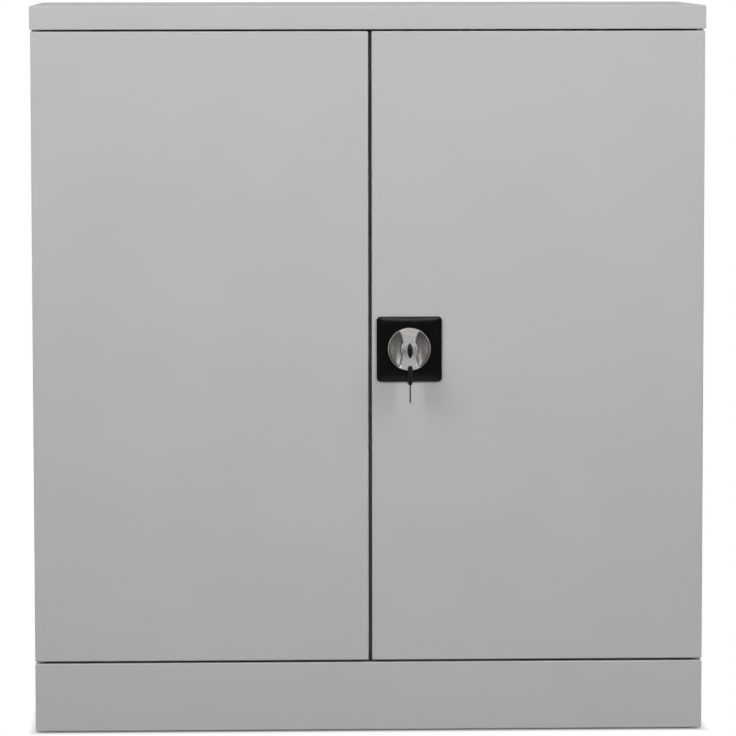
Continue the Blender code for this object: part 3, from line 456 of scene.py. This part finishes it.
def makeLockPlate():
    # a crowned moulding with a well for the knob, a soft outer edge and a box in the door's opening
    size = lockPlate
    half = (plateHigh.x - plateLow.x) / 2
    face = doorFace - plateLow.y
    back = doorFace - plateHigh.y
    well = knobRadius + size["wellPlay"]
    points = size["points"]

    def edgeAt(inset):
        return roundedSquare(half - inset, size["corner"] - inset)

    rings = [polarRing(size["boreRadius"], back, points),
             polarRing(size["boreRadius"], back + size["floor"], points),
             polarRing(well, back + size["floor"], points)]
    lip = size["wellLip"]
    for step in range(size["edgeRings"] + 1):
        turn = pi / 2 * step / size["edgeRings"]
        rings.append(polarRing(well + lip * (1 - cos(turn)), face - lip * (1 - sin(turn)), points))
    inside = well + lip
    outside = edgeAt(size["edge"])
    for step in range(1, size["faceRings"] + 1):
        share = step / size["faceRings"]
        rings.append(polarRing(lambda angle: inside + (outside(angle) - inside) * share,
                               face - size["crown"] * share ** 3, points))
    rim = face - size["crown"]
    for step in range(1, size["edgeRings"] + 1):
        turn = pi / 2 * step / size["edgeRings"]
        rings.append(polarRing(edgeAt(size["edge"] * (1 - sin(turn))),
                               rim - size["edge"] * (1 - cos(turn)), points))
    box = roundedSquare(size["boxHalf"], 0)
    rings += [polarRing(edgeAt(0), size["overDoor"], points),
              polarRing(box, size["overDoor"], points), polarRing(box, back, points)]
    mesh = ringStack("lockPlate", rings, closeLoop=True)
    addPiece("lockPlate", mesh, finishes["plate"], "right_door", ["lock_housing"],
             smoothUnder=40)


makeLockPlate()


# Turn handle

turnKnob = {"scoopAcross": 18.5 * mm, "scoopHalfWidth": 10.75 * mm, "scoopHalfHeight": 28 * mm,
            "scoopDepth": 9.6 * mm, "scoopFullness": 0.55, "rim": 0.6 * mm, "rimDip": 0.3,
            "boss": 11 * mm, "blend": 2.0 * mm, "edge": 0.6 * mm, "edgeRings": 5,
            "boreRadius": 9.3 * mm, "boreDepth": 12 * mm, "boreLip": 0.4 * mm,
            "shaft": 12 * mm, "shaftBack": 12.5 * mm, "back": 7.7 * mm, "centre": 0.5 * mm,
            "spindleHalf": 3.5 * mm, "stud": 3 * mm, "studEdge": 0.3 * mm, "studPoints": 32,
            "points": 320, "faceRings": 72, "soften": 3}


def scoopDepthAt(across, up):
    # two finger scoops, each part of an egg, stopped by the round boss and eased by the knob's rim
    size = turnKnob
    radius = hypot(across, up)

    def easedOver(distance):
        share = min(max(distance / size["blend"], 0), 1)
        return share ** 2 * (3 - 2 * share)

    spread = (((abs(across) - size["scoopAcross"]) / size["scoopHalfWidth"]) ** 2
              + (up / size["scoopHalfHeight"]) ** 2)
    if spread >= 1:
        return 0
    atRim = size["rimDip"] + (1 - size["rimDip"]) * easedOver(knobRadius - size["rim"] - radius)
    return (size["scoopDepth"] * (1 - spread) ** size["scoopFullness"] * atRim
            * easedOver(radius - size["boss"]))


def makeTurnKnob():
    size = turnKnob
    face = doorFace - knobLow.y
    points, count = size["points"], size["faceRings"]
    first, last = size["boreRadius"] + size["boreLip"], knobRadius - size["edge"]
    radii = [first + (last - first) * step / count for step in range(count + 1)]
    angles = [2 * pi * step / points for step in range(points)]
    depth = [[scoopDepthAt(radius * cos(angle), radius * sin(angle)) for angle in angles]
             for radius in radii]
    for _ in range(size["soften"]):  # rounds the scoops' crests
        depth = [[row[at] if line in (0, count) else
                  (2 * row[at] + row[at - 1] + row[(at + 1) % points]
                   + depth[line - 1][at] + depth[line + 1][at]) / 6
                  for at in range(points)] for line, row in enumerate(depth)]
    rings = [polarRing(size["centre"], face - size["boreDepth"], points),
             polarRing(size["boreRadius"], face - size["boreDepth"], points),
             polarRing(size["boreRadius"], face - size["boreLip"], points)]
    for radius, row in zip(radii, depth):
        rings.append([atLock(radius * cos(angle), radius * sin(angle), face - sunk)
                      for angle, sunk in zip(angles, row)])
    for step in range(1, size["edgeRings"] + 1):
        turn = pi / 2 * step / size["edgeRings"]
        radius = knobRadius - size["edge"] * (1 - sin(turn))
        rings.append([atLock(radius * cos(angle), radius * sin(angle),
                             face - sunk - size["edge"] * (1 - cos(turn)))
                      for angle, sunk in zip(angles, depth[-1])])
    rings += [polarRing(knobRadius, -size["back"], points),
              polarRing(size["shaft"], -size["back"], points),
              polarRing(size["shaft"], -size["shaftBack"], points),
              polarRing(size["centre"], -size["shaftBack"], points)]
    studEnd, camBack = doorFace - knobHigh.y, doorFace - corners("latch_cam")[1].y
    half = size["spindleHalf"]
    ends = list(zip(atLock(-half, -half, -size["shaftBack"]), atLock(half, half, camBack)))
    stud, edge = size["stud"], size["studEdge"]
    profile = [(edge, camBack), (stud, camBack), (stud, studEnd + edge), (stud - edge, studEnd),
               (edge, studEnd)]
    mesh = joined("turnKnob", [
        ringStack("knob", rings),
        boxMesh("spindle", [min(pair) for pair in ends], [max(pair) for pair in ends]),
        ringStack("stud", [polarRing(*pair, size["studPoints"]) for pair in profile])])
    addPiece("turnKnob", mesh, finishes["satin"], "handle", ["turn_handle"],
             smoothUnder=50)


makeTurnKnob()


# Lock barrel and plug

lockCylinder = {"lip": 0.35 * mm, "play": 0.3 * mm, "centre": 0.2 * mm, "points": 96,
                "keywayHalf": 1.3 * mm, "keywayUp": 4.3 * mm}


def makeLockCylinder():
    size = lockCylinder
    lip, centre = size["lip"], size["centre"]
    for node, name, body in (("lock_barrel", "lockBarrel", "handle"),
                             ("key_plug", "keyPlug", "key")):
        low, high = corners(node)
        radius = (high.x - low.x) / 2
        front, back = doorFace - low.y, doorFace - high.y
        hollow = node == "lock_barrel"
        if hollow:
            plugLow, plugHigh = corners("key_plug")
            inner = (plugHigh.x - plugLow.x) / 2 + size["play"]
            profile = [(radius, back), (radius, front - lip), (radius - lip, front),
                       (inner + lip, front), (inner, front - lip), (inner, back)]
        else:
            profile = [(centre, back), (radius, back), (radius, front - lip),
                       (radius - lip, front), (centre, front)]
        mesh = ringStack(name, [polarRing(*pair, size["points"]) for pair in profile],
                         closeLoop=hollow)
        if not hollow:
            half, up = size["keywayHalf"], size["keywayUp"]
            mesh = cutAway(mesh, [boxMesh("keyway", (lockX - half, low.y - mm, lockZ - up),
                                          (lockX + half, high.y + mm, lockZ + up))])
        addPiece(name, mesh, finishes["satin"], body, [node])


makeLockCylinder()


# Keys

keyBow = {"hole": 2.5 * mm, "holeInset": 6.5 * mm, "holePoints": 48, "corner": 7 * mm,
          "cornerSpan": 1.6, "edgeHalf": 0.7 * mm, "edgeCurve": 8, "points": 120, "rings": 14,
          "centre": 0.02}
keyBlade = {"tang": 8 * mm, "tip": 2.5 * mm, "nose": (2.0 * mm, 1.2 * mm), "firstBite": 3.2 * mm,
            "biteDepths": [depth * mm for depth in (1.1, 2.3, 1.6, 2.5, 1.3)],
            "bitePitch": 3.7 * mm, "biteFlat": 0.5 * mm, "crest": 0.5 * mm, "shoulder": 0.8 * mm,
            "groove": 0.45 * mm, "grooveHalf": 0.6 * mm, "grooveAside": 1.2 * mm,
            "grooveStart": 9 * mm}
keyTurns = {  # the columns point along the key, across its width and through its thickness
    "key": Matrix(((0, 0, 1), (1, 0, 0), (0, 1, 0))),
    "spare_key": Matrix(((0, 0, 1), (0, 1, 0), (-1, 0, 0))),
}


def makeBow(prefix, hole, turn):
    size = keyBow
    low, high = corners(prefix + "_bow")
    thickness, width, length = sorted(high - low)
    middle = length / 2 - size["holeInset"]
    points, corner = size["points"], size["corner"]
    reachX, reachY = length / 2, width / 2
    outline = []
    for step in range(points):
        angle = 2 * pi * step / points
        # a rounded rectangle, as its straight part pushed out by the corner's radius
        x = max(-1, min(1, size["cornerSpan"] * cos(angle))) * (reachX - corner)
        y = max(-1, min(1, size["cornerSpan"] * sin(angle))) * (reachY - corner)
        outline.append((x + corner * cos(angle), y + corner * sin(angle)))
    upper, lower = [], []
    for ring in range(size["rings"] + 1):
        share = max(sin(pi / 2 * ring / size["rings"]), size["centre"])
        for side, rows in ((1, upper), (-1, lower)):
            row = []
            for x, y in outline:
                lens = size["edgeHalf"] + (thickness / 2 - size["edgeHalf"]) * (
                    1 - (y * share / reachY) ** 2)
                rise = lens * sqrt(max(0, 1 - share ** size["edgeCurve"]))
                row.append(hole + turn @ Vector((middle + x * share, y * share, side * rise)))
            rows.append(row)
    mesh = ringStack(prefix + "Bow", upper + lower[-2::-1])
    through = []
    for level in (-thickness, thickness):
        angles = [2 * pi * step / size["holePoints"] for step in range(size["holePoints"])]
        through.append([hole + turn @ Vector((size["hole"] * cos(angle), size["hole"] * sin(angle),
                                              level)) for angle in angles])
    return cutAway(mesh, [ringStack("bowHole", through)])


def makeBlade(prefix, hole, turn):
    size = keyBlade
    low, high = corners(prefix + "_blade")
    bowLow, bowHigh = corners(prefix + "_bow")
    thickness, width, length = sorted(high - low)
    start = max(bowHigh - bowLow) - keyBow["holeInset"] - size["tang"]
    end = start + length
    half, tip = width / 2, size["tip"]
    outline = [(start, -half), (end - tip, -half), (end, -half + tip), (end, half - tip),
               (end - size["nose"][0], half - size["nose"][1])]
    place = end - size["firstBite"]
    for depth in size["biteDepths"]:
        outline += [(place, half - depth), (place - size["biteFlat"], half - depth),
                    (place - size["bitePitch"] / 2, half - size["crest"])]
        place -= size["bitePitch"]
    outline += [(place + size["shoulder"], half), (start, half)]
    sides = [[hole + turn @ Vector((x, y, level)) for x, y in outline]
             for level in (-thickness / 2, thickness / 2)]
    mesh = ringStack(prefix + "Blade", sides)
    grooves = []
    for side in (-1, 1):
        ends = [hole + turn @ Vector((x, y - size["grooveAside"] * side, side * z))
                for x, y, z in ((start + size["grooveStart"], -size["grooveHalf"],
                                 thickness / 2 - size["groove"]),
                                (end + mm, size["grooveHalf"], thickness))]
        grooves.append(boxMesh("groove", [min(pair) for pair in zip(*ends)],
                               [max(pair) for pair in zip(*ends)]))
    return cutAway(mesh, grooves)


def makeKeys():
    for prefix, body in (("key", "key"), ("spare_key", "spare_key")):
        turn = keyTurns[prefix]
        low, high = corners(prefix + "_bow")
        inset = keyBow["holeInset"]
        if prefix == "key":
            hole = Vector((lockX, low.y + inset, lockZ))
        else:
            hole = Vector((lockX, (low.y + high.y) / 2, high.z - inset))
        addPiece(prefix + "Bow", makeBow(prefix, hole, turn), finishes["bow"], body,
                 [prefix + "_bow"], smoothUnder=50)
        addPiece(prefix + "Blade", makeBlade(prefix, hole, turn), finishes["key"], body,
                 [prefix + "_blade"], smoothUnder=30)


makeKeys()
print("lock: plate, knob, cylinder and keys")


# What repeats is grown by geometry nodes, then kept as a plain mesh

def newTree(name, inputs):
    # inputs: socket name to socket type; the tree ends in one geometry
    tree = bpy.data.node_groups.new(name, "GeometryNodeTree")
    for inputName, kind in inputs.items():
        tree.interface.new_socket(inputName, in_out="INPUT", socket_type=kind)
    tree.interface.new_socket("Geometry", in_out="OUTPUT", socket_type="NodeSocketGeometry")
    return tree, addNode(tree, "NodeGroupInput").outputs


def endTree(tree, geometry, finish):
    real = addNode(tree, "GeometryNodeRealizeInstances", {"Geometry": geometry}).outputs[0]
    coated = addNode(tree, "GeometryNodeSetMaterial", {"Geometry": real, "Material": finish})
    addNode(tree, "NodeGroupOutput", {"Geometry": coated.outputs[0]})


def grown(tree, values):
    # runs a tree with these values and gives back a plain mesh
    piece = newObject(tree.name, bpy.data.meshes.new(tree.name))
    modifier = piece.modifiers.new("grow", "NODES")
    modifier.node_group = tree
    identifiers = {item.name: item.identifier for item in tree.interface.items_tree
                   if item.in_out == "INPUT"}
    for name, value in values.items():
        modifier[identifiers[name]] = value
    mesh = applied(piece)
    bpy.data.objects.remove(piece, do_unlink=True)
    return mesh


# Spot welds

spotWelds = {"radius": 2.6 * mm, "rise": 0.18 * mm, "pitch": 85 * mm, "points": 20, "rings": 10,
             "backInset": 12.5 * mm, "backFoot": 30 * mm, "backHead": 60 * mm,
             "shelfEnds": 40 * mm, "shelfAcross": 24 * mm,
             "doorEnds": 25 * mm, "doorAcross": 26 * mm, "flange": 1 * mm}


def weldTree():
    tree, given = newTree("weldRow", {"Count": "NodeSocketInt", "Start": "NodeSocketVector",
                                      "Step": "NodeSocketVector", "Turn": "NodeSocketRotation",
                                      "Radius": "NodeSocketFloat", "Rise": "NodeSocketFloat",
                                      "Finish": "NodeSocketMaterial"})
    line = addNode(tree, "GeometryNodeMeshLine", {"Count": given["Count"],
                                                  "Start Location": given["Start"],
                                                  "Offset": given["Step"]})
    dome = addNode(tree, "GeometryNodeMeshUVSphere", {"Segments": spotWelds["points"],
                                                      "Rings": spotWelds["rings"], "Radius": 1.0})
    flat = addNode(tree, "ShaderNodeCombineXYZ", {"X": given["Radius"], "Y": given["Radius"],
                                                  "Z": given["Rise"]})
    welds = addNode(tree, "GeometryNodeInstanceOnPoints", {"Points": line.outputs[0],
                                                           "Instance": dome.outputs[0],
                                                           "Rotation": given["Turn"],
                                                           "Scale": flat.outputs[0]})
    endTree(tree, welds.outputs[0], given["Finish"])
    return tree


def weldRow(tree, start, end, turn):
    start, end = Vector(start), Vector(end)
    count = max(2, round((end - start).length / spotWelds["pitch"]) + 1)
    return grown(tree, {"Count": count, "Start": start, "Step": (end - start) / (count - 1),
                        "Turn": turn, "Radius": spotWelds["radius"], "Rise": spotWelds["rise"],
                        "Finish": finishes["paint"]})


def makeWelds():
    size = spotWelds
    tree = weldTree()
    sideways, upright = (pi / 2, 0, 0), (0, 0, 0)
    low, high = corners("back_panel")
    rows = []
    for side in (-1, 1):
        across = side * (high.x - size["backInset"])
        rows.append(weldRow(tree, (across, high.y, low.z + size["backFoot"]),
                            (across, high.y, high.z - size["backHead"]), sideways))
    for shelf in ("shelf_lower", "shelf_upper"):
        low, high = corners(shelf)
        for across in (-size["shelfAcross"], size["shelfAcross"]):
            middle = (low.y + high.y) / 2 + across
            rows.append(weldRow(tree, (low.x + size["shelfEnds"], middle, high.z),
                                (high.x - size["shelfEnds"], middle, high.z), upright))
    addPiece("carcassWelds", joined("carcassWelds", rows), finishes["paint"], "carcass",
             smoothUnder=60)
    for side in ("left", "right"):
        low, high = corners(f"door_{side}_stiffener")
        middle, flange = (low.x + high.x) / 2, low.y + size["flange"]
        rows = [weldRow(tree, (middle + across, flange, low.z + size["doorEnds"]),
                        (middle + across, flange, high.z - size["doorEnds"]), sideways)
                for across in (-size["doorAcross"], size["doorAcross"])]
        addPiece(side + "DoorWelds", joined(side + "DoorWelds", rows), finishes["paint"],
                 side + "_door", smoothUnder=60)


makeWelds()


# Screws that draw the lock housing against its clamp

clampScrews = {"head": 2.7 * mm, "height": 1.9 * mm, "edge": 0.6 * mm, "edgeRings": 4,
               "recess": 0.55 * mm, "recessHalf": 1.5 * mm, "recessDepth": 1.1 * mm,
               "crown": 0.15 * mm, "centre": 0.1 * mm, "points": 32, "inset": 3.4 * mm}


def screwHead():
    size = clampScrews
    top, edge = size["height"], size["edge"]
    angles = [2 * pi * step / size["points"] for step in range(size["points"])]

    def ring(radius, level):
        return [Vector((radius * cos(angle), radius * sin(angle), level)) for angle in angles]

    rings = [ring(size["centre"], 0), ring(size["head"], 0), ring(size["head"], top - edge)]
    for step in range(1, size["edgeRings"] + 1):
        turn = pi / 2 * step / size["edgeRings"]
        rings.append(ring(size["head"] - edge * (1 - cos(turn)), top - edge * (1 - sin(turn))))
    rings.append(ring(size["centre"], top + size["crown"]))
    head = ringStack("screwHead", rings)
    long, slim, floor = size["recessHalf"], size["recess"] / 2, top - size["recessDepth"]
    arms = [boxMesh("arm", (-x, -y, floor), (x, y, top + mm))
            for x, y in ((long, slim), (slim, long))]
    return cutAway(head, arms)


def makeClampScrews():
    tree, given = newTree("screwSquare", {"Across": "NodeSocketFloat", "Up": "NodeSocketFloat",
                                          "Head": "NodeSocketObject", "Place": "NodeSocketVector",
                                          "Turn": "NodeSocketVector",
                                          "Finish": "NodeSocketMaterial"})
    square = addNode(tree, "GeometryNodeMeshGrid", {"Size X": given["Across"],
                                                    "Size Y": given["Up"],
                                                    "Vertices X": 2, "Vertices Y": 2})
    head = addNode(tree, "GeometryNodeObjectInfo", {"Object": given["Head"]})
    screws = addNode(tree, "GeometryNodeInstanceOnPoints", {"Points": square.outputs["Mesh"],
                                                            "Instance": head.outputs["Geometry"]})
    placed = addNode(tree, "GeometryNodeTransform", {"Geometry": screws.outputs[0],
                                                     "Translation": given["Place"],
                                                     "Rotation": given["Turn"]})
    endTree(tree, placed.outputs[0], given["Finish"])
    low, high = corners("lock_clamp")
    reach = high.x - low.x - 2 * clampScrews["inset"]
    headObject = newObject("screwHead", screwHead())
    mesh = grown(tree, {"Across": reach, "Up": reach, "Head": headObject,
                        "Place": (lockX, high.y, lockZ), "Turn": (-pi / 2, 0, 0),
                        "Finish": finishes["zinc"]})
    bpy.data.objects.remove(headObject, do_unlink=True)
    addPiece("clampScrews", mesh, finishes["zinc"], "right_door")


makeClampScrews()


# Split ring: two turns of flat wire, wound as a close coil

splitRing = {"turns": 1.9, "wireAcross": 1.3 * mm, "wireAlong": 0.68 * mm, "pitch": 0.76 * mm,
             "wireEdge": 0.2 * mm, "edgeSteps": 3, "points": 72}


def makeSplitRing():
    tree, given = newTree("splitRing", {"Turns": "NodeSocketFloat", "Radius": "NodeSocketFloat",
                                        "Rise": "NodeSocketFloat", "Wire": "NodeSocketFloat",
                                        "Flat": "NodeSocketFloat", "Place": "NodeSocketVector",
                                        "Turn": "NodeSocketVector",
                                        "Finish": "NodeSocketMaterial"})
    coil = addNode(tree, "GeometryNodeCurveSpiral", {"Resolution": splitRing["points"],
                                                     "Rotations": given["Turns"],
                                                     "Start Radius": given["Radius"],
                                                     "End Radius": given["Radius"],
                                                     "Height": given["Rise"]})
    section = addNode(tree, "GeometryNodeCurvePrimitiveQuadrilateral", {"Width": given["Flat"],
                                                                        "Height": given["Wire"]})
    eased = addNode(tree, "GeometryNodeFilletCurve", {"Curve": section.outputs[0],
                                                      "Radius": splitRing["wireEdge"],
                                                      "Count": splitRing["edgeSteps"]}, mode="POLY")
    wire = addNode(tree, "GeometryNodeCurveToMesh", {"Curve": coil.outputs[0],
                                                     "Profile Curve": eased.outputs[0],
                                                     "Fill Caps": True})
    placed = addNode(tree, "GeometryNodeTransform", {"Geometry": wire.outputs[0],
                                                     "Translation": given["Place"],
                                                     "Rotation": given["Turn"]})
    endTree(tree, placed.outputs[0], given["Finish"])
    low, high = corners("key_ring")
    middle = (low + high) / 2
    radius = (high.x - low.x - splitRing["wireAcross"]) / 2
    rise = splitRing["pitch"] * splitRing["turns"]
    mesh = grown(tree, {"Turns": splitRing["turns"], "Radius": radius, "Rise": rise,
                        "Wire": splitRing["wireAcross"], "Flat": splitRing["wireAlong"],
                        "Place": (middle.x, middle.y + rise / 2, middle.z), "Turn": (pi / 2, 0, 0),
                        "Finish": finishes["zinc"]})
    addPiece("splitRing", mesh, finishes["zinc"], "ring", ["key_ring"], smoothUnder=40)


makeSplitRing()
print("welds, screws and split ring")


# Camera, floor and light

viewpoint = {"distance": 6.0216, "across": -0.1844, "height": 1.0776, "pitchDown": 5.434,
             "yawRight": 1.749, "roll": 0.067, "focalPixels": 4412, "framePixels": 736,
             "sensor": 36, "farEnd": 300}


def makeCamera():
    view = viewpoint
    camera = newObject("camera", bpy.data.cameras.new("camera"))
    camera.location = (view["across"], doorFace - view["distance"], view["height"])
    camera.rotation_euler = (radians(90 - view["pitchDown"]), radians(view["roll"]),
                             -radians(view["yawRight"]))
    camera.data.sensor_width = view["sensor"]
    camera.data.lens = view["sensor"] * view["focalPixels"] / view["framePixels"]
    camera.data.clip_end = view["farEnd"]
    bpy.context.scene.camera = camera


studio = {"floorColour": "989897", "floorRadius": 40, "floorPoints": 64, "shadowShare": 0.9,
          "shadowReach": (-0.011, 0.011), "roomLow": 0.03, "roomHigh": 0.17, "mirrored": 0.25,
          "mirroredFloor": (0.2, 0.6), "mirroredRoom": (0, 0.2)}


def whiteShare(tree, depth, span):
    # the backdrop is pure white to the camera, and shiny things see a share of that white, which
    # grows over the span of depth
    behind = addNode(tree, "ShaderNodeMapRange", {"Value": depth, "From Min": span[0],
                                                  "From Max": span[1], "To Min": 0,
                                                  "To Max": studio["mirrored"]})
    path = addNode(tree, "ShaderNodeLightPath").outputs
    shiny = addNode(tree, "ShaderNodeMath", {0: path["Is Glossy Ray"],
                                             1: path["Is Transmission Ray"]}, operation="MAXIMUM")
    mirrored = addNode(tree, "ShaderNodeMath", {0: shiny.outputs[0], 1: behind.outputs["Result"]},
                       operation="MULTIPLY")
    return addNode(tree, "ShaderNodeMath", {0: path["Is Camera Ray"], 1: mirrored.outputs[0]},
                   operation="MAXIMUM").outputs[0]


def makeFloor():
    material = bpy.data.materials.new("paleStudioFloor")
    material.use_nodes = True
    tree = material.node_tree
    tree.nodes.clear()
    paper = addNode(tree, "ShaderNodeBsdfDiffuse", {"Color": linearColour(studio["floorColour"])})
    white = addNode(tree, "ShaderNodeEmission", {"Color": (1, 1, 1, 1), "Strength": 1.0})
    place = addNode(tree, "ShaderNodeTexCoord").outputs["Object"]
    # how far a spot of the floor lies outside the cabinet's outline
    low, high = corners("plinth_front")[0], corners("back_panel")[1]
    middle, half = (low + high) / 2, (high - low) / 2
    shifted = addNode(tree, "ShaderNodeVectorMath", {0: place, 1: middle}, operation="SUBTRACT")
    across = addNode(tree, "ShaderNodeVectorMath", {0: shifted.outputs[0]}, operation="ABSOLUTE")
    past = addNode(tree, "ShaderNodeVectorMath", {0: across.outputs[0], 1: half},
                   operation="SUBTRACT")
    sides = addNode(tree, "ShaderNodeSeparateXYZ", {"Vector": past.outputs[0]}).outputs
    outside = addNode(tree, "ShaderNodeMath", {0: sides["X"], 1: sides["Y"]}, operation="MAXIMUM")
    near, far = studio["shadowReach"]
    clear = addNode(tree, "ShaderNodeMapRange", {"Value": outside.outputs[0], "From Min": near,
                                                 "From Max": far, "To Max": 1,
                                                 "To Min": 1 - studio["shadowShare"]})
    depth = addNode(tree, "ShaderNodeSeparateXYZ", {"Vector": place}).outputs["Y"]
    shown = whiteShare(tree, depth, studio["mirroredFloor"])
    seen = addNode(tree, "ShaderNodeMath", {0: shown, 1: clear.outputs["Result"]},
                   operation="MULTIPLY")
    mix = addNode(tree, "ShaderNodeMixShader", {"Fac": seen.outputs[0], 1: paper.outputs[0],
                                                2: white.outputs[0]})
    addNode(tree, "ShaderNodeOutputMaterial", {"Surface": mix.outputs[0]})
    shape = bmesh.new()
    bmesh.ops.create_circle(shape, cap_ends=True, segments=studio["floorPoints"],
                            radius=studio["floorRadius"])
    floor = newObject("studioFloor", meshFrom("studioFloor", shape))
    floor.data.materials.append(material)


def makeWorld():
    # a dim room, lightest overhead
    world = bpy.data.worlds.new("studio")
    bpy.context.scene.world = world
    world.use_nodes = True
    tree = world.node_tree
    tree.nodes.clear()
    heading = addNode(tree, "ShaderNodeSeparateXYZ",
                      {"Vector": addNode(tree, "ShaderNodeTexCoord").outputs["Generated"]}).outputs
    glow = addNode(tree, "ShaderNodeMapRange", {"Value": heading["Z"], "From Min": 0, "From Max": 1,
                                                "To Min": studio["roomLow"],
                                                "To Max": studio["roomHigh"]})
    room = addNode(tree, "ShaderNodeBackground", {"Color": (1, 1, 1, 1),
                                                  "Strength": glow.outputs["Result"]})
    white = addNode(tree, "ShaderNodeBackground", {"Color": (1, 1, 1, 1), "Strength": 1.0})
    mix = addNode(tree, "ShaderNodeMixShader", {
        "Fac": whiteShare(tree, heading["Y"], studio["mirroredRoom"]),
        1: room.outputs[0], 2: white.outputs[0]})
    addNode(tree, "ShaderNodeOutputWorld", {"Surface": mix.outputs[0]})


softboxes = {  # spread is how many degrees the grid of each one lets out
    "leftKey": {"place": (-2.6, -2.6, 2.9), "aim": (0, -0.18, 1.3), "size": (2.4, 2.4),
                "watts": 26.3, "spread": 75},
    "rightKey": {"place": (2.6, -2.6, 2.9), "aim": (0, -0.18, 1.3), "size": (2.4, 2.4),
                 "watts": 25.1, "spread": 75},
    "frontPanel": {"place": (0, -4.6, 1.75), "aim": (0, -0.18, 0.6), "size": (3.0, 0.9),
                   "watts": 4, "spread": 120},
    "leftFill": {"place": (-3.6, 2.4, 1.8), "aim": (0, 0.1, 0.5), "size": (2.0, 2.0),
                 "watts": 20, "spread": 75},
    "rightFill": {"place": (3.6, 2.4, 1.8), "aim": (0, 0.1, 0.5), "size": (2.0, 2.0),
                  "watts": 20, "spread": 75},
}


def makeLights():
    for name, box in softboxes.items():
        lamp = bpy.data.lights.new(name, "AREA")
        lamp.shape = "RECTANGLE"
        lamp.size, lamp.size_y = box["size"]
        lamp.energy, lamp.spread = box["watts"], radians(box["spread"])
        lampObject = newObject(name, lamp)
        lampObject.location = box["place"]
        toAim = Vector(box["aim"]) - Vector(box["place"])
        lampObject.rotation_euler = toAim.to_track_quat("-Z", "Y").to_euler()


makeCamera()
makeFloor()
makeWorld()
makeLights()
bpy.context.scene.view_settings.view_transform = "Standard"
print("camera, floor and light")
